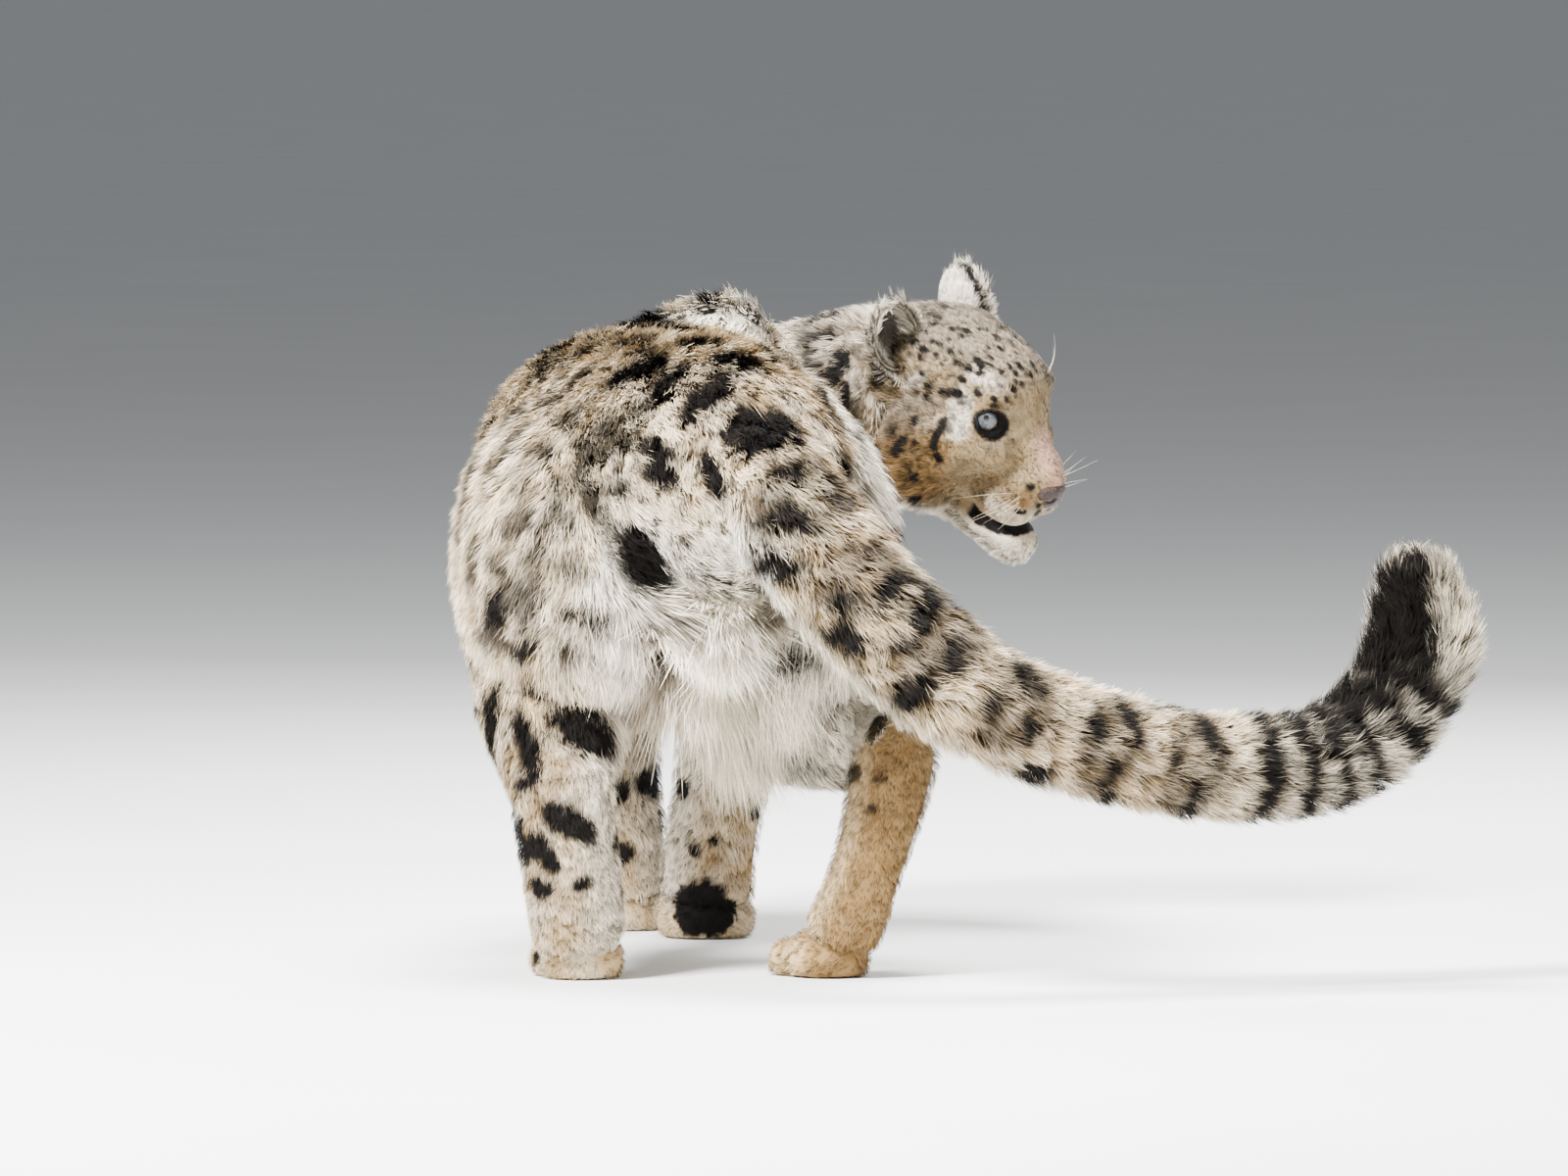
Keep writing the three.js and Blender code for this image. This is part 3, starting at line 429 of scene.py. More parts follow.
def gaze_of(angles, side):
    """The way that lies so many degrees outward and up from the head's own forward."""
    out, up = (radians(angle) for angle in angles)
    return np.array([cos(out) * cos(up), side * sin(out) * cos(up), sin(up)])


def open_eyes(p):
    """The skin's points with those between the lids sunk behind the eyeball."""
    p = p.copy()
    for side in (1, -1):
        gaze, along, over = eye_axes(side)
        q = p - eye_place(side)
        r = np.linalg.norm(q, axis=1)
        a, b, c = q @ gaze, q @ along, q @ over
        lens = np.abs(c) / LID_HIGH + (np.abs(b) / LID_LONG) ** 2 - 1
        inside = smooth(0.1, -0.12, lens) * (a > 0) * (r < EYE_RADIUS + 14)
        p -= q * (inside * (1 - (EYE_RADIUS - 1.5) / r))[:, None]
    return p


def eye_axes(side):
    """The eye's own axes in the head's: outward along its gaze, then along the lids, then across them."""
    slant = radians(LID_SLANT)
    gaze = gaze_of(LIDS_FACE[side], side)
    along = unit(np.cross(UP, gaze)) * side
    over = np.cross(gaze, along) * side
    return gaze, along * cos(slant) + over * sin(slant), over * cos(slant) - along * sin(slant)


def coat_depth(p):
    """How deep the head's skin lies below the forms, by place on the head."""
    f, u = p[:, 0], p[:, 2]
    depth = 2.2 + (5.5 - 3.5 * smooth(5, 35, u)) * smooth(5, -70, f) + 6 * smooth(-40, -95, u) * smooth(30, -20, f)
    depth += 3.5 * smooth(-100, -120, u)
    return depth + 5 * smooth(-70, -130, f)


def face_distance(p):
    """The head's skin with the sockets, lids, line of the mouth and folds of the face."""
    d = head_distance(p) + coat_depth(p)
    f, u = p[:, 0], p[:, 2]
    for side in (1, -1):
        lid = np.linalg.norm(p - eye_place(side), axis=1) - (EYE_RADIUS + LID_THICK)
        d = soft_min(d, lid, 8)
    fold = np.minimum(segment(side_of(p), *PAD_FOLD), segment(side_of(p), *CHEEK_FOLD))
    d = d + 1.5 * smooth(3.2, 0.8, fold)
    inside = smooth(6, 14, f) * smooth(9, 1, np.abs(u - mouth_height(f)))
    return d + 1.2 * inside


def surface_net(distance, low, high, cell):
    """The closed surface where a distance is zero: a point in each cell of a grid that it crosses, and its quads."""
    axes = [np.arange(a, b, cell) for a, b in zip(low, high)]
    grid = np.stack(np.meshgrid(*axes, indexing="ij"), -1)
    inside = (distance(grid.reshape(-1, 3)) < 0).reshape(grid.shape[:3])
    corners = sum(inside[i:i - 1 or None, j:j - 1 or None, k:k - 1 or None].astype(int)
                  for i in (0, 1) for j in (0, 1) for k in (0, 1))
    crossed = (corners > 0) & (corners < 8)
    number = np.full(crossed.shape, -1)
    number[crossed] = np.arange(crossed.sum())
    points = np.argwhere(crossed) * cell + low + cell / 2
    quads = []
    for axis in range(3):
        second, third = (axis + 1) % 3, (axis + 2) % 3
        cells = len(axes[axis])
        head, tail = (np.take(inside, range(k, cells - 1 + k), axis) for k in (0, 1))
        for edges, order in ((head & ~tail, 1), (~head & tail, -1)):
            at = np.argwhere(edges)
            around = []
            for b, c in ((-1, -1), (0, -1), (0, 0), (-1, 0)):
                cell_at = at.copy()
                cell_at[:, second] += b
                cell_at[:, third] += c
                around.append(number[tuple(cell_at.T)])
            quads.append(np.stack(around[::order], 1))
    return points, np.concatenate(quads)


def softened(points, quads, passes):
    """The points, each drawn half way to the middle of its neighbours, so many times over."""
    ends = np.concatenate([quads[:, [k, (k + 1) % 4]] for k in range(4)])
    near = np.bincount(ends[:, 0], minlength=len(points))[:, None]
    for _ in range(passes):
        middle = np.stack([np.bincount(ends[:, 0], points[ends[:, 1], k], len(points)) for k in range(3)], 1) / near
        points = 0.5 * points + 0.5 * middle
    return points


def head_skin():
    """The head's skin, with its points drawn onto the forms and the eyes opened."""
    p, quads = surface_net(face_distance, np.array(HEAD_LOW), np.array(HEAD_HIGH), HEAD_CELL)
    step = 0.4
    for passes in (3, 1, 0):
        p = softened(p, quads, passes)
        for _ in range(3):
            d = face_distance(p)
            slope = np.stack([(face_distance(p + step * e) - d) / step for e in np.eye(3)], 1)
            p -= np.clip(d, -1, 1)[:, None] * slope / np.maximum((slope ** 2).sum(1, keepdims=True), 0.3)
    return head_to_body(open_eyes(p)), quads


def body_skin():
    """The skin of everything but the head and the paws."""
    pieces = []
    for limb in LIMBS.values():
        rings = max(LIMB_RINGS, int(limb.length / LIMB_STEP))
        _, _, points = limb.grid(rings, LIMB_SIDES, SKIN_SHARE)
        pieces.append(closed(points, rings + 2 * len(CAPS), LIMB_SIDES))
    points, faces = join(pieces)
    return remeshed(points, faces, BODY_VOXEL, BODY_PASSES)


def paw_skin():
    """The skin of the four paws, flat where they meet the floor."""
    pieces = [piece for paw in PAWS.values() for piece in paw_pieces(paw)]
    points, faces = join(pieces)
    points, quads = remeshed(points, faces, PAW_VOXEL, PAW_PASSES)
    points[:, 2] = np.maximum(points[:, 2], PAW_FLOOR)
    return points, quads


def guides():
    """Points over every limb with the coat's lie, its height above the skin, and its place on the limb."""
    rows = []
    for index, limb in enumerate(LIMBS.values()):
        rings = max(GUIDE_RINGS, int(limb.length / GUIDE_STEP))
        u, angle, p = limb.grid(rings, GUIDE_SIDES, SKIN_SHARE)
        tips = limb.surface(u, angle, 1.0)
        skin = limb.surface(u, angle, SKIN_SHARE)
        ahead, _, _ = limb.frame(u)
        out = unit(skin - (limb.along(u)[:, :3] + SHIFT))
        fall = -UP + out * out[:, 2:]
        flow = limb.way * ahead + limb.fall * fall
        height = np.linalg.norm(tips - skin, axis=1)
        rows.append(np.concatenate([p, flow, height[:, None], np.full((len(u), 1), index), u[:, None],
                                    angle[:, None]], 1))
    return np.concatenate(rows)


def tree_of(points):
    """The points, ready to be searched for the nearest."""
    tree = KDTree(len(points))
    for i, p in enumerate(points.tolist()):
        tree.insert(p, i)
    tree.balance()
    return tree


def near_guides(points, table, count):
    """The guides nearest to each point and how much each one counts."""
    tree = tree_of(table[:, :3])
    found = [[(i, d) for _, i, d in tree.find_n(p, count)] for p in points.tolist()]
    index = np.array([[i for i, _ in row] for row in found])
    weight = 1 / (np.array([[d for _, d in row] for row in found]) ** 2 + 1e-6)
    return index, weight / weight.sum(1, keepdims=True)


def paws_near(points):
    """Each paw's heading, which of the points are its own, and where they lie from its middle."""
    for (x, y), heading, *_ in PAWS.values():
        q = points - (np.array([x, y, 0]) / 1000 + SHIFT)
        yield radians(heading), np.linalg.norm(q[:, :2], axis=1) < PAW_REACH, q


class Skin:
    """All of the animal's surface in one, with the coat's lie and height and the place on its limb at each point."""

    def __init__(self):
        body, head, paws = body_skin(), head_skin(), paw_skin()
        table = guides()
        parts = []
        for kind, (points, quads) in (("body", body), ("paws", paws), ("head", head)):
            normal = vertex_normals(points, quads)
            if kind == "head":
                flow, height = self.head_coat(points)
                p = body_to_head(points)
                place = np.stack([np.full(len(p), len(NAMES)), np.clip((p[:, 0] - HEAD_REAR) / HEAD_SPAN, 0, 1),
                                  np.arctan2(p[:, 2] - HEAD_MIDDLE, p[:, 1]) % (2 * pi)], 1)
            else:
                index, weight = near_guides(points, table, GUIDES_NEAR)
                flow = (table[index, 3:6] * weight[..., None]).sum(1)
                height = (table[index, 6] * weight).sum(1)
                place = table[index[:, 0], 7:10]
            if kind == "paws":
                flow = flow * [1, 1, 0.2] + self.paw_flow(points)
                height = np.full(len(points), PAW_COAT)
                place = self.paw_place(points)
            flow = unit(flow - (flow * normal).sum(1, keepdims=True) * normal)
            parts.append((points, quads, normal, flow, height, place))
        starts = np.cumsum([0] + [len(part[0]) for part in parts])
        self.quads = np.concatenate([part[1] + start for part, start in zip(parts, starts)])
        self.points, self.normal, self.flow, self.height, self.place = (
            np.concatenate([part[k] for part in parts]) for k in (0, 2, 3, 4, 5))

    def paw_flow(self, points):
        flow = np.zeros_like(points)
        for heading, near, _ in paws_near(points):
            flow[near] = (-sin(heading), cos(heading), -0.4)
        return flow * 2

    def paw_place(self, points):
        place = np.zeros((len(points), 3))
        for i, (_, near, q) in enumerate(paws_near(points)):
            place[near] = np.stack([np.full(near.sum(), len(NAMES) + 1 + i), points[near, 2] / PAW_TALL,
                                    np.arctan2(q[near, 1], q[near, 0]) % (2 * pi)], 1)
        return place

    def head_coat(self, points):
        """The lie of the head's coat, away from the nose, and its height, short at the lips."""
        p = body_to_head(points)
        away = unit(p - np.array([92.0, 0, -44]))
        down = smooth(10, -60, p[:, 0]) * smooth(-10, -70, p[:, 2])
        flow = away + np.stack([-0.2 * down, 0 * down, -0.5 * down], 1)
        lips = smooth(15, 9, np.abs(p[:, 2] - mouth_height(p[:, 0]))) * smooth(-6, 4, p[:, 0])
        return flow @ HEAD_AXES, np.maximum(0.0003, coat_depth(p) / 1000 * HEAD_SIZE * (1 - 0.92 * lips))


# Kinds of mark, and how the marks of the view from behind are laid on the skin.
SPOT, RING, FAINT, BAND = "spot", "ring", "faint", "band"
MARK_GROWTH = {FAINT: 1.35, SPOT: 1.14, RING: 1.1}  # how much larger each kind is laid, as hair covers its edge
VIEW_EDGE = -0.12  # a mark lies only where the skin faces the view by more than this
MARK_REACH, MARK_DEPTH = 10, 0.03  # how far off, in the view and behind the first point met, a mark may lie
VIEW_MIDDLE, VIEW_SCALE = (800, 600), 1100
# Those marks: place across and down from the view's upper left corner, half length, half width, all 1100 to the
# metre, turn of the long way from level, and kind.
BEHIND = [
    (553, 353, 11, 6, 30, FAINT), (575, 352, 9, 5, 20, FAINT), (592, 345, 10, 6, 10, FAINT),
    (618, 330, 10, 6, 0, FAINT), (623, 345, 10, 7, -20, FAINT), (640, 340, 9, 5, -10, FAINT),
    (645, 358, 11, 6, -10, FAINT), (667, 335, 42, 12, -20, SPOT), (722, 307, 14, 8, 80, SPOT),
    (767, 317, 12, 8, -20, SPOT), (797, 327, 14, 8, -50, SPOT), (817, 323, 8, 5, 0, SPOT),
    (823, 350, 10, 6, -50, FAINT), (833, 328, 10, 9, 0, SPOT), (843, 345, 9, 7, 60, SPOT),
    (857, 320, 9, 6, 0, SPOT), (520, 395, 12, 7, 50, FAINT), (547, 360, 14, 7, 40, FAINT),
    (563, 380, 18, 8, 20, FAINT), (572, 400, 11, 6, 40, FAINT), (593, 372, 10, 6, 10, FAINT),
    (600, 395, 12, 6, 30, FAINT), (607, 360, 13, 6, 20, FAINT), (647, 392, 15, 9, 5, SPOT),
    (658, 370, 8, 5, 0, FAINT), (672, 382, 12, 8, 80, SPOT), (687, 397, 21, 9, 45, SPOT),
    (715, 360, 17, 10, -5, SPOT), (722, 412, 26, 13, 50, SPOT), (750, 377, 20, 11, -10, SPOT),
    (830, 370, 10, 6, -60, FAINT), (848, 387, 9, 8, 0, SPOT), (857, 370, 12, 9, 80, SPOT),
    (862, 405, 14, 6, 85, SPOT), (497, 450, 10, 6, 60, FAINT), (505, 435, 12, 8, 60, FAINT),
    (520, 430, 11, 6, 50, FAINT), (530, 457, 14, 6, 60, FAINT), (533, 420, 12, 6, -30, FAINT),
    (557, 470, 10, 7, 0, FAINT), (565, 420, 10, 6, 10, FAINT), (588, 437, 10, 7, 0, FAINT),
    (605, 458, 10, 6, 0, FAINT), (613, 472, 14, 6, 10, FAINT), (630, 440, 12, 6, 20, FAINT),
    (633, 457, 14, 6, 30, FAINT), (648, 455, 10, 6, 10, FAINT), (658, 427, 10, 6, 10, FAINT),
    (678, 465, 17, 9, -40, SPOT), (773, 443, 27, 22, -30, SPOT), (868, 455, 14, 5, 85, FAINT),
    (873, 430, 16, 6, 85, FAINT), (482, 500, 9, 5, 80, FAINT), (483, 525, 12, 7, 80, FAINT),
    (487, 480, 12, 7, 80, FAINT), (509, 487, 9, 6, 70, FAINT), (543, 507, 8, 7, 0, FAINT),
    (545, 527, 8, 7, 0, FAINT), (575, 493, 8, 6, 0, FAINT), (575, 520, 9, 7, 40, FAINT),
    (600, 490, 9, 6, 30, FAINT), (615, 513, 13, 9, -60, FAINT), (640, 500, 10, 7, 20, FAINT),
    (680, 490, 19, 9, -25, SPOT), (732, 487, 25, 9, -65, SPOT), (827, 510, 38, 30, -30, RING),
    (853, 483, 10, 7, -40, SPOT), (478, 548, 9, 5, 85, FAINT), (493, 587, 12, 6, 85, FAINT),
    (497, 560, 8, 6, 80, FAINT), (520, 580, 8, 8, 0, FAINT), (530, 547, 10, 8, 80, FAINT),
    (553, 573, 10, 8, 0, FAINT), (560, 545, 9, 7, 60, FAINT), (580, 542, 8, 7, 0, FAINT),
    (583, 577, 9, 8, 0, FAINT), (663, 565, 29, 17, -50, SPOT), (788, 573, 13, 10, 20, SPOT),
    (813, 583, 14, 12, 0, SPOT), (883, 597, 33, 30, -20, RING), (512, 647, 10, 7, 0, FAINT),
    (518, 618, 17, 9, 85, SPOT), (530, 600, 10, 8, 70, FAINT), (542, 657, 12, 10, 80, SPOT),
    (543, 617, 12, 8, 80, FAINT), (556, 600, 9, 7, 60, FAINT), (597, 628, 20, 8, -10, SPOT),
    (867, 648, 21, 10, -25, SPOT), (935, 625, 14, 9, 40, SPOT), (965, 640, 33, 29, -30, RING),
    (488, 670, 20, 7, -80, SPOT), (553, 702, 13, 8, -50, SPOT), (580, 663, 10, 8, 0, FAINT),
    (660, 663, 18, 8, 0, FAINT), (803, 665, 21, 12, 15, SPOT), (935, 703, 17, 15, 0, SPOT),
    (508, 745, 36, 10, 88, SPOT), (542, 768, 30, 8, -82, SPOT), (597, 750, 29, 17, -35, SPOT),
    (748, 757, 9, 6, 0, FAINT), (843, 723, 10, 6, 0, FAINT), (895, 743, 14, 5, 60, SPOT),
    (1033, 720, 32, 31, 0, RING), (1132, 757, 32, 29, 60, RING), (1217, 777, 34, 28, 60, RING),
    (535, 803, 7, 6, 0, SPOT), (667, 800, 15, 14, 0, SPOT), (738, 787, 16, 5, -75, FAINT),
    (785, 817, 20, 8, 70, SPOT), (825, 782, 13, 7, 60, SPOT), (842, 817, 20, 6, 75, SPOT),
    (868, 795, 12, 5, 50, SPOT), (888, 827, 6, 4, 0, SPOT), (897, 797, 6, 4, 0, SPOT),
    (1056, 782, 15, 9, -30, SPOT), (1130, 805, 12, 8, 0, SPOT), (1210, 820, 14, 7, 70, SPOT),
    (523, 853, 27, 10, -78, SPOT), (557, 867, 23, 8, -65, SPOT), (582, 843, 25, 13, -35, SPOT),
    (710, 867, 6, 6, 0, SPOT), (728, 860, 5, 5, 0, SPOT), (553, 907, 9, 9, 0, SPOT),
    (593, 900, 10, 6, 10, SPOT), (720, 927, 26, 24, 0, SPOT)]
# Marks that the view from behind hides, by limb: place along it, angle round it, half length and half width in
# millimetres, turn of the long way from the coat's lie, and kind. The other sides get theirs at random.
MARKS = {
    "torso": [(.26, 92, 28, 14, 0, SPOT), (.33, 94, 30, 15, 0, SPOT), (.40, 94, 31, 15, 0, SPOT),
              (.47, 92, 28, 14, 4, SPOT), (.54, 94, 26, 13, -4, SPOT), (.61, 93, 24, 13, 0, SPOT),
              (.24, 78, 14, 9, 20, SPOT), (.24, 108, 12, 8, 0, SPOT), (.31, 76, 15, 9, -10, SPOT),
              (.32, 108, 14, 8, 10, SPOT), (.39, 77, 16, 9, 10, SPOT), (.39, 110, 14, 9, 10, SPOT)],
    "tail": [(.20, 20, 24, 14, 0, SPOT), (.25, 320, 24, 18, 10, RING),
             (.33, 330, 26, 20, 0, RING), (.40, 30, 22, 16, 0, SPOT), (.42, 300, 26, 20, 0, RING),
             (.49, 50, 22, 16, 0, SPOT), (.50, 330, 26, 20, 0, RING), (.57, 300, 28, 22, 0, RING),
             (.57, 40, 22, 16, 0, SPOT)]}
# Dark bands of the tail: place along it and half length.
TAIL_BANDS = [(.652, 17), (.692, 15), (.728, 13), (.765, 15), (.81, 17), (.86, 16), (.905, 17), (.98, 62)]
# Each chart's place on the unwrap of the skin: its corner, width and height.
ATLAS = {
    "torso": (0, 0, .45, .5), "tail": (.47, 0, .53, .17), "head": (.47, .19, .26, .31), "neck": (.75, .19, .25, .15),
    "thigh_left": (0, .52, .24, .3), "thigh_right": (.25, .52, .24, .3), "upper_arm_left": (.5, .52, .17, .2),
    "upper_arm_right": (.68, .52, .17, .2), "shank_left": (.5, .74, .17, .2), "shank_right": (.68, .74, .17, .2),
    "forearm_left": (.86, .52, .14, .22), "forearm_right": (.86, .76, .14, .22), "hind_foot_left": (0, .84, .24, .15),
    "hind_foot_right": (.25, .84, .24, .15), "hind_left": (.75, .36, .06, .14), "hind_right": (.82, .36, .06, .14),
    "fore_left": (.88, .36, .06, .14), "fore_right": (.94, .36, .06, .14),
    "ear_left": (.51, .95, .15, .05), "ear_right": (.68, .95, .15, .05)}
# Random marks: the space between them and their least and greatest half size in metres, and how many places of the
# skin are tried.
BODY_MARKS, LEG_MARKS, TRIES = (0.058, 0.017, 0.025), (0.0396, 0.008, 0.012), 9000
PAW_CHARTS = ["hind_left", "hind_right", "fore_left", "fore_right"]
CHARTS = NAMES + ["head"] + PAW_CHARTS
ALL_CHARTS = CHARTS + ["ear_left", "ear_right"]


def blob(p, at, half):
    """1 at a place of the stations' frame, falling to 0 round it."""
    return np.exp(-np.linalg.norm((p - SHIFT - at) / half, axis=1) ** 2)


def fringe(p):
    """1 where the long hair hangs down, falling to 0 round it."""
    return np.max([blob(p, at, half) for at, half in FRINGES], 0)


def ripple(p, size, seed):
    """Soft noise between about -1 and 1, in waves of the given size in metres."""
    rng = np.random.default_rng(seed)
    total = 0
    for _ in range(5):
        way = unit(rng.normal(size=3)) * 2 * pi / size * rng.uniform(0.7, 1.5)
        total = total + np.sin(p @ way + rng.uniform(0, 6.3) + 1.3 * np.sin(p @ way[[1, 2, 0]] * 0.6))
    return total / 3


def limb_frame(name, u, angle):
    """A place on a limb's coat, with the coat's lie there and the way across it."""
    limb = LIMBS[name]
    u, angle = np.array([float(u)]), np.array([radians(angle)])
    at = limb.surface(u, angle, 0.8)[0]
    out = unit(at - limb.along(u)[0, :3] - SHIFT)
    ahead = limb.frame(u)[0][0] * limb.way
    lie = unit(ahead - (ahead @ out) * out)
    return at, lie, np.cross(out, lie), out


def marks_behind(skin):
    """The marks of the view from behind, each laid on the part of the skin that the view meets first there."""
    view = np.array([0, cos(radians(VIEW_TILT)), -sin(radians(VIEW_TILT))])
    across, up = np.array([1.0, 0, 0]), np.array([0, sin(radians(VIEW_TILT)), cos(radians(VIEW_TILT))])
    q = skin.points - SHIFT - np.array(VIEW_AIM) + VIEW_DISTANCE * view
    depth = q @ view
    scale = VIEW_SCALE * VIEW_DISTANCE / depth
    x, y = VIEW_MIDDLE[0] + q @ across * scale, VIEW_MIDDLE[1] - q @ up * scale
    facing = skin.normal @ view < VIEW_EDGE
    made = []
    for right, down, long, wide, turn, kind in BEHIND:
        off = np.hypot(x - right, y - down)
        near = np.nonzero(facing & (off < MARK_REACH))[0]
        if not len(near):
            continue
        near = near[depth[near] < depth[near].min() + MARK_DEPTH]
        i = near[np.argmin(off[near])]
        close = near[off[near] < 0.8 * MARK_REACH]
        n = unit(skin.normal[close if len(close) else [i]].sum(0))
        c, s = cos(radians(turn)), sin(radians(turn))
        halves, grown = [], MARK_GROWTH[kind]
        for way, half in ((across * c + up * s, long * grown), (up * c - across * s, wide * grown)):
            slide = way - (way @ n) / min(view @ n, VIEW_EDGE) * view
            halves.append((unit(slide), half / VIEW_SCALE * min(np.linalg.norm(slide), 1.6)))
        (lie, a), (_, b) = halves
        made.append((skin.points[i], lie, np.cross(n, lie), n, a, b, 0, kind))
    return made


def placed_marks():
    """The marks given by limb, and the tail's bands."""
    made = [(*limb_frame(name, u, angle), long / 1000, wide / 1000, turn, kind)
            for name, rows in MARKS.items() for u, angle, long, wide, turn, kind in rows]
    tail = LIMBS["tail"]
    for u, half in TAIL_BANDS:
        _, lie, across, out = limb_frame("tail", u, 200)
        made.append((tail.along(np.array([u]))[0, :3] + SHIFT, lie, across, out, half / 1000, 0.1, 0, BAND))
    return made


def scattered_marks(skin, known):
    """Marks of the sides that the photo hides, spread evenly over the skin and clear of the known ones."""
    rng = np.random.default_rng(11)
    order = rng.permutation(len(skin.points))
    kept = [m[0] for m in known]
    made = []
    names = np.array(CHARTS)[skin.place[:, 0].astype(int)]
    for i in order[:TRIES]:
        name, p, n = names[i], skin.points[i], skin.normal[i]
        if name in ("head", "tail", "hind_foot_right", *PAW_CHARTS) or (name == "torso" and n[2] < -0.6):
            continue
        if (n[1] < -0.15 or fringe(p[None])[0] > 0.3) and not name.startswith(("upper", "fore")):
            continue
        low = name.startswith(("shank", "hind", "fore", "upper"))
        space, least, greatest = LEG_MARKS if low else BODY_MARKS
        if kept and np.min(np.linalg.norm(np.array(kept) - p, axis=1)) < space:
            continue
        kept.append(p)
        size = rng.uniform(least, greatest)
        lie = skin.flow[i]
        kind = SPOT if low or rng.uniform() < 0.3 else RING
        made.append((p, lie, np.cross(n, lie), n, size * 1.25, size, rng.uniform(-40, 40), kind))
    return made


def mark_strength(p, marks):
    """How dark the marks make each point, with ragged outlines."""
    dark = np.zeros(len(p))
    ragged = 0.13 * ripple(p, 0.009, 3) + 0.12 * ripple(p, 0.028, 4)
    for at, lie, across, out, long, wide, turn, kind in marks:
        q = p - at
        near = np.nonzero((np.abs(q) < 1.5 * max(long, wide)).all(1))[0]
        if not len(near):
            continue
        q = q[near]
        if kind == BAND:
            off = (q @ lie) + 0.004 * ripple(p[near], 0.04, 9)
            sideways = q - (q @ lie)[:, None] * lie
            facing = (sideways @ out) / np.maximum(np.linalg.norm(sideways, axis=1), 1e-6)
            k = smooth(1.2, 0.75, np.abs(off) / long + ragged[near]) * smooth(-0.75, -0.1, facing)
        else:
            c, s = cos(radians(turn)), sin(radians(turn))
            a, b = q @ lie, q @ across
            x, y = (a * c + b * s) / long, (b * c - a * s) / wide
            r = np.hypot(x, y) + ragged[near]
            if kind == RING:
                theta = np.arctan2(y, x)
                broken = 0.9 + 0.35 * np.cos(3 * theta + at[0] * 900) + 0.25 * np.cos(5 * theta + at[2] * 700)
                k = smooth(0.48, 0.33, np.abs(r - 0.72)) * np.clip(broken, 0.75, 1)
                k = np.maximum(k, 0.45 * smooth(0.9, 0.4, r))
            else:
                k = smooth(1.25, 1.08, r) * (0.88 if kind == FAINT else 1)
            k = k * (np.abs(q @ out) < 0.035)
        dark[near] = np.maximum(dark[near], k)
    return np.clip(dark, 0, 1)


# Spots of the crown: the cells that hold one each, a spot's half sizes, and the share of cells that have one.
CROWN_CELL, CROWN_SPOT, CROWN_SHARE = np.array([11.5, 8.5, 9.5]), np.array([6.4, 3.6, 4.6]), 0.84
# Strokes and spots of the face: two ends in the head's own millimetres, mirrored to both sides, and radius.
FACE_GROWTH = 1.2  # how much larger the dark ones are laid, as hair covers their edge
FACE_DARK = [
    ((-23, 68, -2), (-21, 78, -27), 4.6), ((-18, 33, 53), (-3, 30, 50), 2.2), ((-25, 37, 51), (-16, 41, 45), 2.2),
    ((-32, 54, 22), (-34, 56, 17), 4), ((15, 30, 0), (28, 24, -12), 5.5), ((-48, 71, -13), (-50, 72, -16), 4),
    ((-52, 76, -40), (-56, 77, -52), 7), ((-39, 79, -31), (-40, 79, -33), 3.6), ((-14, 77, -33), (-12, 76, -36), 4),
    ((-30, 76, -63), (-31, 75, -67), 5), ((-28, 67, -86), (-30, 66, -90), 5), ((-66, 71, -36), (-68, 70, -41), 4.6),
    ((-74, 66, -62), (-78, 64, -70), 6), ((-60, 70, -80), (-64, 66, -86), 5), ((-60, 66, 4), (-62, 66, -2), 4),
    ((66, 29, -64), (46, 38, -69), 2.4), ((57, 21, -42), (70, 10, -70), 4.6), ((-108, 52, -8), (-112, 50, 22), 8),
    ((8, 22, 24), (4, 24, 30), 2.2), ((20, 14, 18), (16, 15, 24), 2), ((-4, 20, 40), (-9, 20, 44), 2.6)]
FACE_WHITE = [
    ((-2, 37, 40), (-18, 45, 44), 9), ((-20, 54, 20), (-9, 66, -4), 11), ((14, 32, 22), (6, 40, 26), 6),
    ((8, 46, -12), (20, 36, -18), 6), ((34, 30, -100), (60, 16, -106), 9), ((-64, 62, 20), (-72, 60, 10), 7)]
WHISKER_ROWS = (-53, -58.5, -64)  # heights of the rows of dots on the whisker pads
FACE_OCHRE = [
    ((-30, 74, -66), (-66, 70, -56), 38), ((-20, 76, -32), (-44, 76, -36), 20), ((46, 34, -54), (58, 28, -54), 11),
    ((10, 40, -36), (24, 34, -44), 9)]


def strokes(side, rows, soft=0.35):
    """1 on any of the face's strokes, falling off past its radius."""
    found = np.zeros(len(side))
    for a, b, radius in rows:
        found = np.maximum(found, smooth(1 + soft, 1 - soft, segment(side, a, b) / radius))
    return found


def crown_spots(p, side):
    """Rows of small dark spots over the crown and the brow, smaller and fewer on the cheeks."""
    cells = np.floor(side / CROWN_CELL)
    found = np.zeros(len(p))
    for step in np.ndindex(3, 3, 3):
        cell = cells + np.array(step) - 1
        # The cell's own number sets where in it the spot lies, how large it is, and whether it is there.
        h = np.abs(np.sin(cell @ [12.9898, 78.233, 37.719] + np.sign(p[:, 1]) * 3.1) * 43758.5453)
        jitter = np.stack([h % 1, (h * 1.7) % 1, (h * 2.3) % 1], 1)
        q = (side - (cell + 0.2 + 0.6 * jitter) * CROWN_CELL) / CROWN_SPOT
        size = 0.7 + 0.6 * ((h * 3.1) % 1)
        keep = ((h * 5.3) % 1) < CROWN_SHARE
        found = np.maximum(found, np.where(keep, smooth(1.2, 0.7, np.linalg.norm(q, axis=1) / size), 0))
    return found


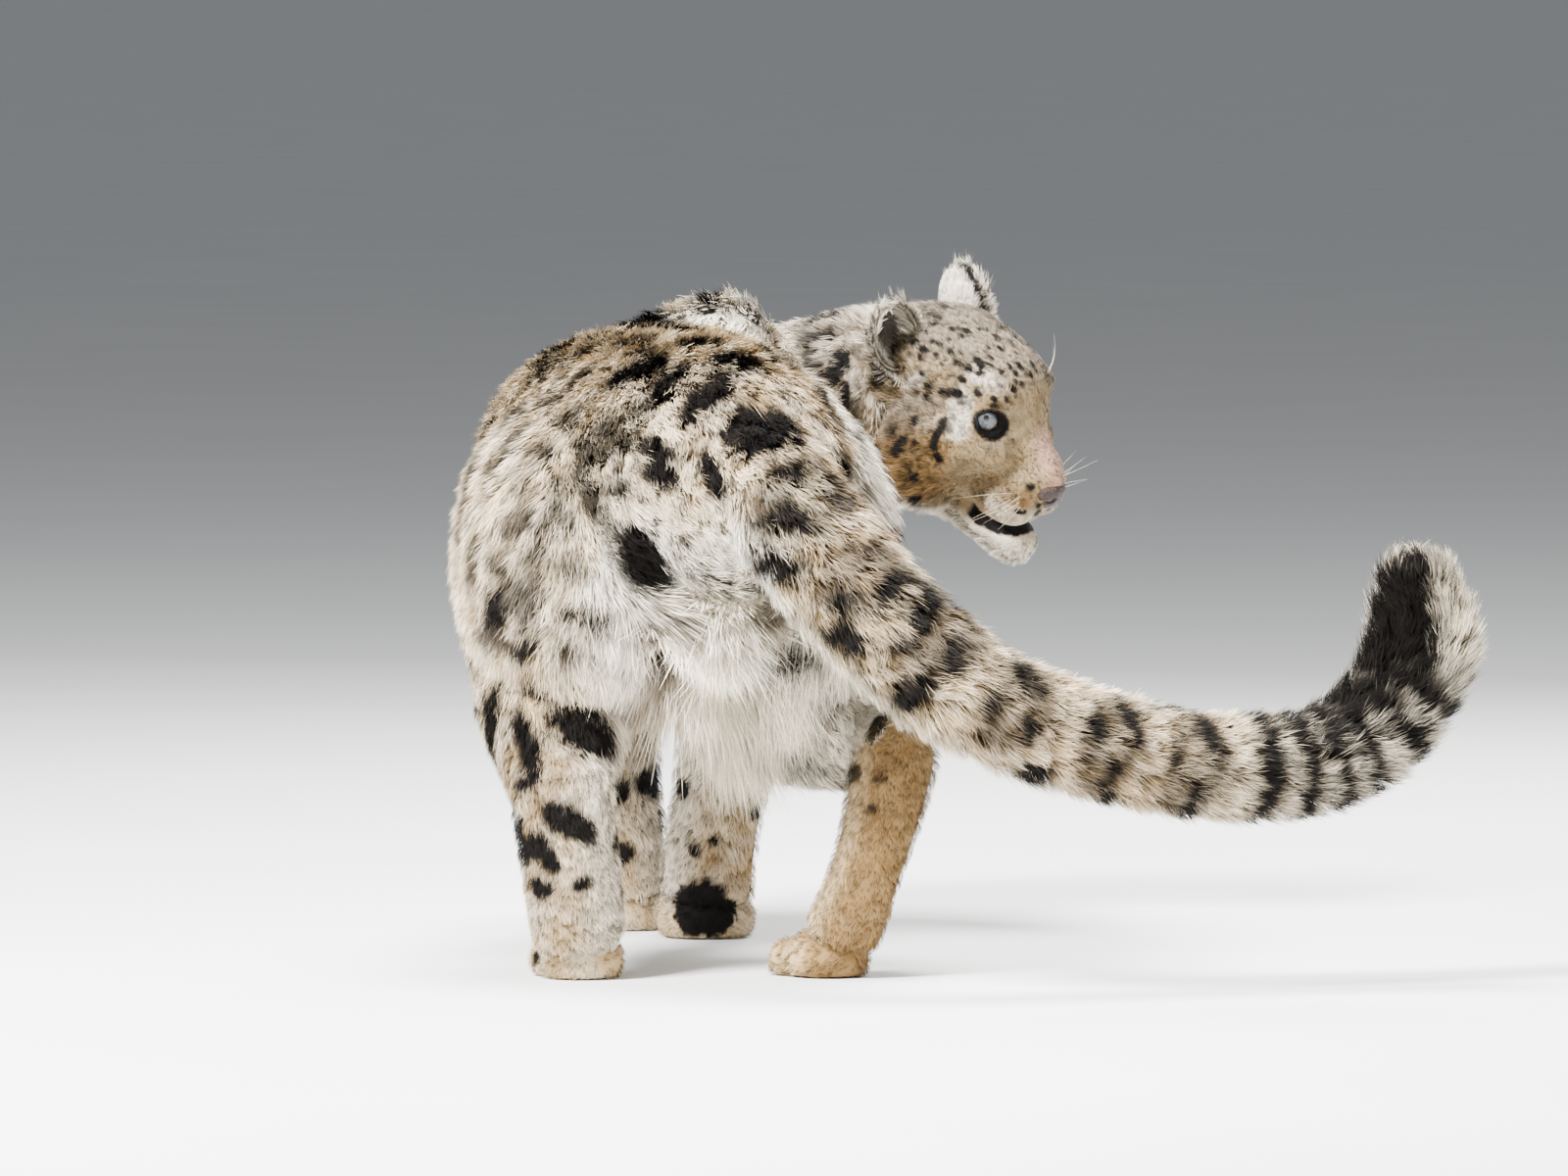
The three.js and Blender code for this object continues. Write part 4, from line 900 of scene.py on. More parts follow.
def head_marks(p):
    """Dark, ochre, white and pink of the face, by place in the head's own millimetres."""
    side = side_of(p)
    f, l, u = side.T
    wobble = side + np.stack([ripple(p / 1000, 0.012, seed) for seed in (51, 52, 53)], 1) * 1.4
    crown = smooth(10, 24, u - 0.25 * f) * smooth(34, 14, f)
    nape = smooth(-84, -100, f) * smooth(-60, -30, u)
    cheek = 0.8 * smooth(4, -16, f) * smooth(14, 0, u) * smooth(-96, -70, u)
    dark = crown_spots(p, side) * np.clip(crown + cheek + nape, 0, 1)
    flecks = 0.8 * smooth(0.3, 0.85, ripple(p / 1000, 0.010, 56))
    flecks = flecks * np.clip(crown + nape + 0.6 * smooth(10, -30, f), 0, 1)
    drawn = strokes(wobble, [(a, b, FACE_GROWTH * radius) for a, b, radius in FACE_DARK])
    dark = np.maximum(np.maximum(dark, flecks), drawn)
    for which in (1, -1):
        gaze, along, over = eye_axes(which)
        q = p - eye_place(which)
        a, b, c = q @ gaze, q @ along, q @ over
        ring = np.hypot((b + 3) / (LID_LONG + 3.6), (c + 0.6) / (LID_HIGH + 1.6))
        dark = np.maximum(dark, smooth(1.2, 1.0, ring) * smooth(-8, 2, a))
    off = np.abs(u - mouth_height(f) + 1.5) + ripple(p / 1000, 0.01, 8)
    lips = smooth(7.5, 5, off) * smooth(2, 12, f) * smooth(98, 90, f) * smooth(-60, -66, u)
    dark = np.maximum(dark, lips)
    for k, height in enumerate(WHISKER_ROWS):
        row = np.abs(u - height + 0.1 * (f - 50))
        dots = np.abs((f - 3 * k) % 7 - 3.5)
        pad = smooth(30, 36, f) * smooth(66, 60, f) * smooth(14, 20, l)
        dark = np.maximum(dark, smooth(2.0, 1.0, np.hypot(row, dots)) * pad * 0.9)
    white = np.maximum(strokes(wobble, FACE_WHITE, 0.5), smooth(-92, -104, u + 0.12 * f))
    white = np.maximum(white, 0.55 * smooth(20, 34, f) * smooth(-58, -68, u))
    ochre = np.maximum(strokes(wobble, FACE_OCHRE, 0.6), 0.35 + 0.25 * ripple(p / 1000, 0.03, 54))
    pink = strokes(side, [((46, 0, -8), (68, 0, -34), 15)], 0.5) * 0.85
    pink = np.maximum(pink, 0.6 * strokes(side, [((14, 36, -84), (34, 34, -92), 9)], 0.6))
    dark = np.maximum(dark, 0.5 * (1 - np.clip(0.7 * white + pink, 0, 1)))
    return dark, np.clip(ochre, 0, 1), np.clip(0.8 * white, 0, 1), pink


INDEX = {name: i for i, name in enumerate(CHARTS)}


def on_limb(place, *names):
    """Which places lie on any of these charts."""
    return np.isin(place[:, 0], [INDEX[name] for name in names])


def golden_side(normal):
    """1 on the sole side of the right hind foot, which lies towards the animal's rear."""
    return smooth(-0.8, -0.3, normal[:, 0]) * smooth(0.6, 0, normal[:, 1])


def darkness(p, normal, place, marks):
    """How dark the coat is at points of the body, from its spots, rings and bands."""
    dark = mark_strength(p, marks)
    head = on_limb(place, "head")
    dark[head] = head_marks(body_to_head(p[head]))[0]
    gold = on_limb(place, "hind_foot_right", "hind_right")
    dark[gold] = np.maximum(0.9 * dark[gold], 0.3 * golden_side(normal[gold]))
    tip = on_limb(place, "tail") & (place[:, 1] > 0.84)
    pale_side = smooth(0.15, 0.6, normal[:, 0]) * smooth(0.84, 0.9, place[:, 1])
    dark[tip] *= (1 - 0.95 * pale_side)[tip]
    return dark


def tones(p, normal, place):
    """How ochre, white, grey and pink the ground of the coat is."""
    u, angle = place[:, 1], place[:, 2]
    patch, fine = ripple(p, 0.09, 21), ripple(p, 0.025, 22)
    ochre = np.clip(0.42 + 0.22 * patch + 0.16 * fine, 0, 1)
    white = np.clip(0.2 + 0.2 * ripple(p, 0.05, 23) + 0.1 * fine, 0, 1)
    grey, blush = np.zeros(len(p)), np.zeros(len(p))
    torso, thighs = on_limb(place, "torso"), on_limb(place, "thigh_left", "thigh_right")
    under = smooth(0.1, -0.6, normal[:, 2])
    white[torso] = np.maximum(white, under * 0.95)[torso]
    ochre[torso] *= (1 - 0.8 * under)[torso]
    back = torso & (u > 0.1)
    top = smooth(0.2, 0.8, normal[:, 2]) * smooth(0.1, 0.26, u)
    grey[back] = (0.3 * top * (0.8 + 0.3 * fine))[back]
    ochre[back] *= (1 - 0.65 * top)[back]
    flank = smooth(-0.2, -0.9, normal[:, 0])
    grey[torso | thighs] = np.maximum(grey, 0.1 * flank)[torso | thighs]
    ochre[torso | thighs] *= (1 - 0.45 * flank)[torso | thighs]
    for side, sign in (("left", -1), ("right", 1)):
        here = on_limb(place, *(f"{part}_{side}" for part in ("thigh", "shank", "hind_foot", "upper_arm", "forearm")))
        inner = smooth(0.1, -0.7, sign * normal[:, 0])
        white[here] = np.maximum(white, inner * 0.7)[here]
        ochre[here] = (np.clip(ochre + 0.14, 0, 1) * (1 - inner * 0.6))[here]
    groin = on_limb(place, "thigh_right", "shank_right") & (normal[:, 1] < 0.45)
    white[groin] = np.maximum(white[groin], 0.8)
    ochre[groin] *= 0.35
    hump = blob(p, *SHOULDER_HUMP)
    white = np.clip(white + 0.8 * hump, 0, 1)
    grey, ochre = grey * (1 - hump), ochre * (1 - 0.6 * hump)
    rear = blob(p, *PALE_REAR)
    white = np.clip(white + 0.9 * rear * (torso | thighs), 0, 1)
    hang = fringe(p)
    white, ochre = white * (1 - 0.8 * hang), np.maximum(ochre, 0.35 * hang)
    gold = on_limb(place, "hind_foot_right", "hind_right")
    heel = golden_side(normal)
    ochre[gold], white[gold] = (heel * (0.92 + 0.08 * fine) + 0.35 * (1 - heel))[gold], 0
    sole = on_limb(place, "hind_foot_left", "hind_left")
    ochre[sole] = np.maximum(ochre[sole], 0.5)
    tail = on_limb(place, "tail")
    upper = smooth(-0.2, 0.5, np.cos(angle - radians(185)))
    ochre[tail] = (np.clip(0.55 + 0.25 * patch, 0, 1) * upper * smooth(0.8, 0.45, u))[tail]
    white[tail] = np.maximum(0.15 + 0.2 * fine, 0.9 * smooth(0.4, -0.4, np.cos(angle - radians(185))))[tail]
    late = smooth(0.5, 0.75, u)
    white[tail] = np.maximum(white, 0.6 * late)[tail]
    root = tail & (u < 0.2)
    white[root] = np.maximum(white, smooth(0.3, -0.3, normal[:, 2]))[root]
    neck = on_limb(place, "neck")
    ochre[neck] = (np.clip(0.6 + 0.2 * patch, 0, 1) * smooth(-0.7, -0.1, normal[:, 2]))[neck]
    white[neck] = np.maximum(white, smooth(-0.2, -0.8, normal[:, 2]))[neck]
    head = on_limb(place, "head")
    _, ochre[head], white[head], blush[head] = head_marks(body_to_head(p[head]))
    nape = head | neck
    grey[nape] = 0.6 * smooth(-0.2, 0.6, normal[nape, 2])
    return np.clip(ochre, 0, 1), np.clip(white, 0, 1), np.clip(grey, 0, 1), blush


class BodyPaint:
    """The marks and tones of the body's coat."""

    def __init__(self, marks):
        self.marks = marks

    def dark(self, p, normal, place):
        return darkness(p, normal, place, self.marks)

    def tones(self, p, normal, place):
        return tones(p, normal, place)


def atlas_place(place):
    """Where each place lies on the unwrap of the skin."""
    rects = np.array([ATLAS[n] for n in ALL_CHARTS])[place[:, 0].astype(int)]
    return np.stack([rects[:, 0] + rects[:, 2] * (0.03 + 0.94 * np.clip(place[:, 1], 0, 1)),
                     rects[:, 1] + rects[:, 3] * (0.03 + 0.94 * (place[:, 2] % (2 * pi)) / (2 * pi))], 1)


LEAST_LOCKS, TUFTS_PER_LOCK = 8, 13  # tufts lean together in locks, of about so many each
LEAST_LONG, SHORT_COAT = 0.004, 0.003  # what a tuft is longer than its share of the coat, less in a coat so short
MARK_READS = np.array([0.1, 0.4, 0.7, 1.0])  # places along a tuft where the marks are read
ROOT_DEEP = 0.001  # how deep a strand starts under the skin
BAKE_SPREAD = 0.003  # how wide a strand lies on the unwrap


class CoatSpec:
    """How one region's coat grows: its charts, how many tufts, how long next to its height, and its strands."""

    def __init__(self, charts, count, length, width, strands, levels, seed):
        self.charts, self.count, self.length, self.width = charts, count, length, width
        self.strands, self.levels, self.seed = strands, np.array(levels, float), seed


def tuft_roots(skin, spec, rng):
    """Where a region's tufts are rooted, spread evenly over its skin, with the skin's values there."""
    names = np.array(ALL_CHARTS)[skin.place[:, 0].astype(int)]
    inside = np.zeros(len(names), bool)
    for chart, low, high in spec.charts:
        inside |= (names == chart) & (skin.place[:, 1] >= low) & (skin.place[:, 1] < high)
    quads = skin.quads[inside[skin.quads[:, 0]]]
    tris = np.concatenate([quads[:, [0, 1, 2]], quads[:, [0, 2, 3]]])
    a, b, c = (skin.points[tris[:, k]] for k in range(3))
    area = np.linalg.norm(np.cross(b - a, c - a), axis=1)
    pick = tris[rng.choice(len(tris), spec.count, p=area / area.sum())]
    w = rng.uniform(size=(spec.count, 2))
    w = np.where(w.sum(1, keepdims=True) > 1, 1 - w, w)
    w = np.concatenate([1 - w.sum(1, keepdims=True), w], 1)

    def blend(values):
        return (values[pick] * w.reshape(w.shape + (1,) * (values.ndim - 1))).sum(1)

    # A place is blended only where all three corners lie on one chart.
    place = skin.place[pick[:, 0]].copy()
    same = (skin.place[pick, 0] == place[:, :1]).all(1)
    turned = blend(np.stack([np.cos(skin.place[:, 2]), np.sin(skin.place[:, 2])], 1))
    place[same, 1] = blend(skin.place[:, 1])[same]
    place[same, 2] = (np.arctan2(turned[:, 1], turned[:, 0]) % (2 * pi))[same]
    return blend(skin.points), unit(blend(skin.normal)), blend(skin.height), blend(skin.flow), place


def locks_of(root, rng):
    """The middle of each tuft's lock, towards which it leans, and a number that the lock's tufts share."""
    heads = rng.choice(len(root), max(LEAST_LOCKS, len(root) // TUFTS_PER_LOCK), replace=False)
    tree = tree_of(root[heads])
    lock = np.array([tree.find(p)[1] for p in root.tolist()])
    return root[heads][lock], rng.normal(size=len(heads))[lock]


def ribbons(middle, half):
    """Points and triangles of flat strands that end in a point, from their middle lines and half widths."""
    n, strands, steps, _ = middle.shape
    left, right = (middle - half)[:, :, :-1], (middle + half)[:, :, :-1]
    points = np.concatenate([np.stack([left, right], 3).reshape(n, strands, -1, 3), middle[:, :, -1:]], 2)
    rungs = steps - 1
    per = 2 * rungs + 1
    faces = []
    for k in range(0, 2 * rungs - 2, 2):
        faces += [[k, k + 1, k + 3], [k, k + 3, k + 2]]
    faces.append([2 * rungs - 2, 2 * rungs - 1, 2 * rungs])
    first = (np.arange(n * strands) * per)[:, None, None]
    return points.reshape(-1, 3), (first + np.array(faces)[None]).reshape(-1, 3)


def grow_coat(skin, spec, paint):
    """Points, triangles, bake places and masks of one region's tufts."""
    rng = np.random.default_rng(spec.seed)
    n, strands, levels = spec.count, spec.strands, spec.levels
    root, normal, height, flow, place = tuft_roots(skin, spec, rng)
    centre, lean = locks_of(root, rng)
    hang = fringe(root)
    long = spec.length * height + LEAST_LONG * np.minimum(1, height / SHORT_COAT) + FRINGE_LONG * hang
    long = long * (0.82 + 0.36 * rng.uniform(size=n))
    long *= 1 + 0.08 * lean

    # The lie: along the coat with a swing of its own, drawn down by its weight, and close to the skin.
    side = np.cross(normal, flow)
    swing = radians(16) * ripple(root, 0.05, 5) + radians(9) * lean + radians(7) * rng.normal(size=n)
    way = unit(flow) * np.cos(swing)[:, None] + side * np.sin(swing)[:, None]
    way[:, 2] -= np.clip(long * 5, 0, 0.35) + 1.6 * hang
    way = unit(way - (way * normal).sum(1, keepdims=True) * normal * (0.8 - 0.75 * hang)[:, None])
    side = unit(np.cross(normal, way))
    far = np.linalg.norm(centre - root, axis=1) / (np.median(np.linalg.norm(centre - root, axis=1)) + 1e-9)
    lift = height * (1.04 - 0.16 * np.clip(far, 0, 2)) * (0.8 + 0.3 * rng.uniform(size=n))
    pull = (0.15 + 0.57 * smooth(0.004, 0.011, height))[:, None] * (centre - root)

    # The tones are read once for a tuft, where it is seen, and the marks at several places along it.
    seen = root + way * (long * 0.6)[:, None] + normal * (lift * 0.9)[:, None]
    ochre, white, grey, blush = paint.tones(seen, normal, place)
    reads = len(MARK_READS)
    spots = (root[:, None] + way[:, None] * (long[:, None] * MARK_READS)[..., None]
             + pull[:, None] * (MARK_READS * MARK_READS)[None, :, None])
    dark = paint.dark(spots.reshape(-1, 3), np.repeat(normal, reads, 0), np.repeat(place, reads, 0)).reshape(n, reads)

    # The strands of a tuft start near its root and fan out.
    t = levels[None, None, :]
    fan = rng.normal(size=(n, strands)) * radians(9)
    start = root[:, None] + (side[:, None] * rng.normal(size=(n, strands, 1)) +
                             way[:, None] * rng.normal(size=(n, strands, 1))) * spec.width * 0.9
    ahead = way[:, None] * np.cos(fan)[..., None] + side[:, None] * np.sin(fan)[..., None]
    across = side[:, None] * np.cos(fan)[..., None] - way[:, None] * np.sin(fan)[..., None]
    twist = rng.normal(size=(n, strands, 1)) * radians(24)
    across = across * np.cos(twist) + normal[:, None] * np.sin(twist)
    reach = long[:, None] * (0.8 + 0.3 * rng.uniform(size=(n, strands)))
    rise = lift[:, None] * (0.75 + 0.35 * rng.uniform(size=(n, strands)))
    bend = 0.06 * reach * rng.normal(size=(n, strands))
    middle = (start[:, :, None] + ahead[:, :, None] * (reach[..., None] * t)[..., None]
              + normal[:, None, None] * (rise[..., None] * (1 - (1 - t) ** 1.8) - ROOT_DEEP * (t == 0))[..., None]
              + side[:, None, None] * (bend[..., None] * t * t)[..., None]
              + pull[:, None, None] * (t * t)[..., None])
    taper = np.interp(levels, [0, 0.35, 1], [0.8, 1, 0])
    wide = spec.width * np.clip(long / 0.03, 0.45, 1.25)
    half = across[:, :, None] * (wide[:, None, None] * taper)[..., None] * 0.5
    points, tris = ribbons(middle, half)

    rungs = len(levels) - 1
    each = np.append(np.repeat(levels[:-1], 2), 1.0)
    along = np.tile(each, n * strands)
    beside = np.tile(np.append(np.tile([0.0, 1.0], rungs), 0.5), n * strands)
    shade = (0.5 + 0.2 * lean)[:, None] + 0.17 * rng.normal(size=(n, strands))
    uv = np.repeat(atlas_place(place), len(each) * strands, 0)
    uv = uv + np.stack([beside - 0.5, along - 0.5], 1) * BAKE_SPREAD
    masks = {"ochre": ochre, "white": white, "grey": grey, "blush": blush}
    masks = {key: np.repeat(values, len(each) * strands) for key, values in masks.items()}
    where = np.clip((each - 0.1 + 0.06 * rng.normal(size=(n, strands, 1))) / 0.3, 0, reads - 1.001)
    first = where.astype(int)
    tuft = np.arange(n)[:, None, None]
    masks["dark"] = (dark[tuft, first] * (1 - where + first) + dark[tuft, first + 1] * (where - first)).ravel()
    masks["shade"] = np.repeat(np.clip(shade, 0, 1).reshape(-1), len(each))
    masks["along"] = along
    return points, tris, uv, masks


def smooth_shaded(mesh):
    mesh.polygons.foreach_set("use_smooth", np.ones(len(mesh.polygons), bool))


def give(mesh, values):
    """Gives each point of a mesh some numbers by name, for its material to read."""
    for key, each in values.items():
        mesh.attributes.new(key, "FLOAT", "POINT").data.foreach_set("value", np.ascontiguousarray(each, np.float32))


def fast_object(name, points, faces, masks=None, uv=None, sides=3):
    """A mesh object from arrays of points and of faces that all have the same number of corners."""
    mesh = bpy.data.meshes.new(name)
    mesh.vertices.add(len(points))
    mesh.vertices.foreach_set("co", np.ascontiguousarray(points, np.float32).ravel())
    mesh.loops.add(len(faces) * sides)
    mesh.loops.foreach_set("vertex_index", np.ascontiguousarray(faces, np.int32).ravel())
    mesh.polygons.add(len(faces))
    mesh.polygons.foreach_set("loop_start", np.arange(len(faces), dtype=np.int32) * sides)
    if uv is not None:
        layer = mesh.uv_layers.new(name="OFBake")
        layer.data.foreach_set("uv", np.ascontiguousarray(uv[faces.ravel()], np.float32).ravel())
    give(mesh, masks or {})
    mesh.update(calc_edges=True)
    mesh.validate()
    made = bpy.data.objects.new(name, mesh)
    bpy.context.scene.collection.objects.link(made)
    smooth_shaded(mesh)
    return made


# Regions of the coat: the charts that each one covers with its range along them, how many tufts it has, how long
# they are next to the coat's height, how wide next to a full strand, and how many strands and steps each tuft has.
LONG_STRAND, SHORT_STRAND = (0, 0.3, 0.65, 1), (0, 0.5, 1)
REGIONS = {
    "coat_rump": ([("torso", 0, 0.3)], 21500, 0.95, 1.05, 3, SHORT_STRAND),
    "coat_belly": ([("torso", 0.3, 0.62)], 11500, 1.3, 1.2, 3, SHORT_STRAND),
    "coat_chest": ([("torso", 0.62, 2)], 8000, 1.25, 1.2, 3, SHORT_STRAND),
    "coat_neck": ([("neck", 0, 2)], 9000, 0.9, 1, 3, SHORT_STRAND),
    "coat_thigh_left": ([("thigh_left", 0, 2)], 15500, 1.0, 1.05, 3, SHORT_STRAND),
    "coat_thigh_right": ([("thigh_right", 0, 2)], 12000, 1.5, 1, 2, LONG_STRAND),
    "coat_leg_left": ([("shank_left", 0, 2), ("hind_foot_left", 0, 2)], 12500, 1.15, 1, 3, SHORT_STRAND),
    "coat_leg_right": ([("shank_right", 0, 2), ("hind_foot_right", 0, 2)], 10500, 1.0, 0.85, 3, SHORT_STRAND),
    "coat_arm_left": ([("upper_arm_left", 0, 2), ("forearm_left", 0, 2)], 5600, 1.5, 1.1, 3, SHORT_STRAND),
    "coat_arm_right": ([("upper_arm_right", 0, 2), ("forearm_right", 0, 2)], 5600, 1.5, 1.1, 3, SHORT_STRAND),
    "coat_tail": ([("tail", 0, 2)], 21500, 1.0, 1.05, 3, SHORT_STRAND),
    "coat_head": ([("head", -1, 2)], 22000, 0.95, 0.85, 3, SHORT_STRAND),
    "coat_paws": ([(paw, -1, 2) for paw in PAWS], 5000, 1.5, 0.9, 3, SHORT_STRAND)}
STAGE = {}


def skin_and_marks():
    """The animal's surface and its marks, worked out once for all the pieces."""
    if "skin" not in STAGE:
        STAGE["skin"] = Skin()
        known = marks_behind(STAGE["skin"]) + placed_marks()
        STAGE["marks"] = known + scattered_marks(STAGE["skin"], known)
    return STAGE["skin"], STAGE["marks"]


def settings():
    """The sizes and the colours of the sidebar."""
    return bpy.context.scene.leopard_sizes, bpy.context.scene.leopard_colours


class Nodes:
    """A material's nodes, added and joined one at a time."""

    def __init__(self, name):
        self.material = bpy.data.materials.new(name)
        self.material.use_nodes = True
        self.tree = self.material.node_tree
        self.shader = self.tree.nodes["Principled BSDF"]

    def put(self, socket, value):
        """Joins another node's output to a socket, or sets the socket to a constant."""
        if isinstance(value, bpy.types.NodeSocket):
            self.tree.links.new(value, socket)
        elif hasattr(value, "__len__") and len(value) == 3 and socket.type == "RGBA":
            socket.default_value = (*value, 1)
        else:
            socket.default_value = value

    def add(self, kind, out=0, options=None, **inputs):
        """A node's output; an input is given by its name, or by its number after an i."""
        made = self.tree.nodes.new(kind)
        for key, value in (options or {}).items():
            setattr(made, key, value)
        for key, value in inputs.items():
            self.put(made.inputs[int(key[1:])] if key[1:].isdigit() else made.inputs[key], value)
        return made.outputs[out]

    def number(self, name):
        return self.add("ShaderNodeAttribute", 2, {"attribute_name": name})

    def math(self, operation, a, b=0.0):
        return self.add("ShaderNodeMath", 0, {"operation": operation}, i0=a, i1=b)

    def mix(self, share, a, b, way="MIX"):
        return self.add("ShaderNodeMix", 2, {"data_type": "RGBA", "blend_type": way, "clamp_factor": True},
                        i0=share, i6=a, i7=b)

    def range(self, value, a, b, low, high):
        return self.add("ShaderNodeMapRange", 0, None, i0=value, i1=a, i2=b, i3=low, i4=high)

    def noise(self, scale, detail=3.0, vector=None):
        where = vector or self.add("ShaderNodeTexCoord", 3)
        return self.add("ShaderNodeTexNoise", 0, None, Vector=where, Scale=scale, Detail=detail)

    def bump(self, height, strength, distance):
        return self.add("ShaderNodeBump", 0, None, Height=height, Strength=strength, Distance=distance)

    def dimmed(self, colour, light):
        """A colour times a number."""
        grey = self.add("ShaderNodeCombineColor", 0, None, i0=light, i1=light, i2=light)
        return self.mix(1.0, colour, grey, "MULTIPLY")

    def finish(self, **inputs):
        for key, value in inputs.items():
            self.put(self.shader.inputs[key.replace("_", " ")], value)
        return self.material


def coat_colour(n, colours):
    """The coat's colour from its masks, before the strand's own shade."""
    cream = n.mix(n.number("ochre"), colours.cream, colours.ochre)
    pale = n.mix(n.number("white"), cream, colours.white)
    pale = n.mix(n.number("grey"), pale, colours.grey)
    return n.mix(n.number("blush"), pale, colours.blush)


def fur_material(name, colours):
    """The tufts: ochre near the root and darkened there as painted shade, pale at the tip, and black in the marks."""
    n = Nodes(name)
    base = coat_colour(n, colours)
    deep = n.mix(n.range(n.number("along"), 0.1, 0.6, 0.75, 0.0), base, colours.ochre)
    warm = n.mix(n.math("MULTIPLY", n.range(n.number("ochre"), 0.0, 0.5, 0.35, 1.0), 0.8), base, deep)
    tip = n.math("MULTIPLY", n.range(n.number("along"), 0.5, 1.0, 0.0, 0.45),
                 n.range(n.number("ochre"), 0.2, 0.9, 1, 0.1))
    base = n.mix(tip, warm, colours.white)
    # painted shade: each strand darkens towards its root, where the coat shades itself
    root = n.range(n.number("along"), 0.05, 0.75, 0.06, 1.0)
    strand = n.range(n.number("shade"), 0, 1, 0.42, 1.3)
    light = n.math("MULTIPLY", root, strand)
    base = n.dimmed(base, light)
    black = n.mix(n.math("MULTIPLY", n.number("shade"), 0.5), colours.black, colours.soot)
    return n.finish(Base_Color=n.mix(n.number("dark"), base, black), Roughness=0.7, Specular_IOR_Level=0.06)


def skin_material(colours):
    """The short coat close to the skin, seen between the tufts and on the face, with painted shade under deep coat.
    """
    n = Nodes("close_coat")
    base = coat_colour(n, colours)
    grain = n.noise(420.0, 4.0)
    base = n.mix(n.range(grain, 0.35, 0.65, 0.0, 0.35), base, colours.ochre)
    # painted shade: the skin darkens where the coat over it is deep
    deep = n.range(n.number("coat_shadow"), 0, 1, 0.85, 0.5)
    base = n.dimmed(base, deep)
    base = n.mix(n.number("dark"), base, colours.black)
    rough = n.range(grain, 0.3, 0.7, 0.6, 0.8)
    return n.finish(Base_Color=base, Roughness=rough, Specular_IOR_Level=0.08,
                    Normal=n.bump(n.noise(900.0, 3.0), 0.5, 0.0008))


def ear_axes(side):
    """An ear's own axes in the head's: the way its hollow faces, across it, and up it."""
    turn = Matrix.Rotation(radians(-side * EAR_OUTWARD[side]), 3, "X")
    turn = turn @ Matrix.Rotation(radians(-EAR_BACK[side]), 3, "Y")
    turn = turn @ Matrix.Rotation(radians(side * EAR_FACING[side]), 3, "Z")
    return np.array(turn).T


# An ear's shell: rings over its back and down its hollow, points in a ring, how far round the back goes in
# degrees, and the thickness of the wall in millimetres. Its coat: the height in the hollow and on the back, and
# how much more along each ear's edge, in metres.
EAR_BACK_ROWS, EAR_HOLLOW_ROWS, EAR_SIDES, EAR_OPEN, EAR_WALL = 20, 14, 64, 100, 2.6
EAR_HAIR, EAR_COAT, EAR_EDGE = 0.006, 0.003, {1: 0.0015, -1: 0.004}
EAR_TUFTS, EAR_TUFT_LONG, EAR_TUFT_WIDE, EAR_SEED = 2800, 2.2, 0.8, 40  # long next to the coat, wide to a strand


class Ear:
    """An ear's shell: its back, the turn of its rim and its hollow."""

    def __init__(self, side):
        rows, sides = EAR_BACK_ROWS + EAR_HOLLOW_ROWS, EAR_SIDES
        axes = ear_axes(side)
        back = np.linspace(0.03, 1.0, EAR_BACK_ROWS) * radians(EAR_OPEN)
        hollow = np.linspace(1.0, 0.03, EAR_HOLLOW_ROWS) * radians(EAR_OPEN - 4)
        theta = np.concatenate([back, hollow])
        inner = np.concatenate([np.zeros(EAR_BACK_ROWS), np.ones(EAR_HOLLOW_ROWS)])
        t, phi = np.repeat(theta, sides), np.tile(2 * pi * np.arange(sides) / sides, rows)
        wall, kind = np.repeat(EAR_WALL * inner, sides), np.repeat(inner, sides)
        local = np.stack([-(EAR_DEEP - wall) * np.cos(t), (EAR_WIDE - wall) * np.sin(t) * np.cos(phi),
                          (EAR_TALL - wall) * np.sin(t) * np.sin(phi)], 1)
        tip = np.maximum(0, np.sin(phi) * np.sin(t))
        local[:, 1] *= 1 - 0.06 * tip
        local[:, 0] += 0.9 * kind + 3.0 * np.maximum(0, local[:, 2]) ** 2 / EAR_TALL ** 2
        local = np.concatenate([local, [local[:sides].mean(0), local[-sides:].mean(0)]])
        self.points = head_to_body(local @ axes + [EAR_AT[0], side * EAR_AT[1], EAR_AT[2]])
        self.faces = grid_faces(rows, sides)
        self.quads = np.array([face for face in self.faces if len(face) == 4])
        self.normal = vertex_normals(self.points, self.quads)
        self.inner = np.append(kind, [0, 1])
        # The faces are turned over where the grid came out facing inward.
        spread = unit(self.points - self.points.mean(0))
        out = spread * np.where(self.inner > 0, -1, 1)[:, None]
        if (self.normal * out).sum() < 0:
            self.faces = [face[::-1] for face in self.faces]
            self.quads = self.quads[:, ::-1]
            self.normal = -self.normal
        up = axes[2] @ HEAD_AXES
        self.rim = np.append(np.repeat(theta, sides), [0, 0]) / radians(EAR_OPEN)
        flow = np.where(self.inner[:, None] > 0, -0.5 * spread + 0.9 * up, spread * self.rim[:, None] + 0.6 * up)
        self.flow = unit(flow - (flow * self.normal).sum(1, keepdims=True) * self.normal)
        edge = smooth(0.75, 0.95, self.rim) * (self.inner == 0)
        self.height = np.where(self.inner > 0, EAR_HAIR, EAR_COAT) + EAR_EDGE[side] * edge
        chart = ALL_CHARTS.index("ear_left" if side > 0 else "ear_right")
        self.place = np.stack([np.full(len(self.points), chart), self.rim * 0.5 + 0.5 * self.inner,
                               np.append(phi, [0, 0])], 1)

    def dark(self, p, normal, place):
        back, rim = place[:, 1] < 0.5, place[:, 1] * 2
        band = smooth(0.5, 0.62, rim) * smooth(0.86, 0.78, rim)
        # The back carries the ear's dark band; in the hollow the hair is dark deep inside, partly its own colour and
        # partly painted shade.
        return np.where(back, band, 0.9 * smooth(1.75, 1.4, rim))

    def tones(self, p, normal, place):
        inner = place[:, 1] >= 0.5
        patch = np.where(inner, 0, smooth(0.6, 0.4, place[:, 1] * 2))
        return 0.3 * inner, np.full(len(p), 0.8), 0.1 * patch, np.zeros(len(p))


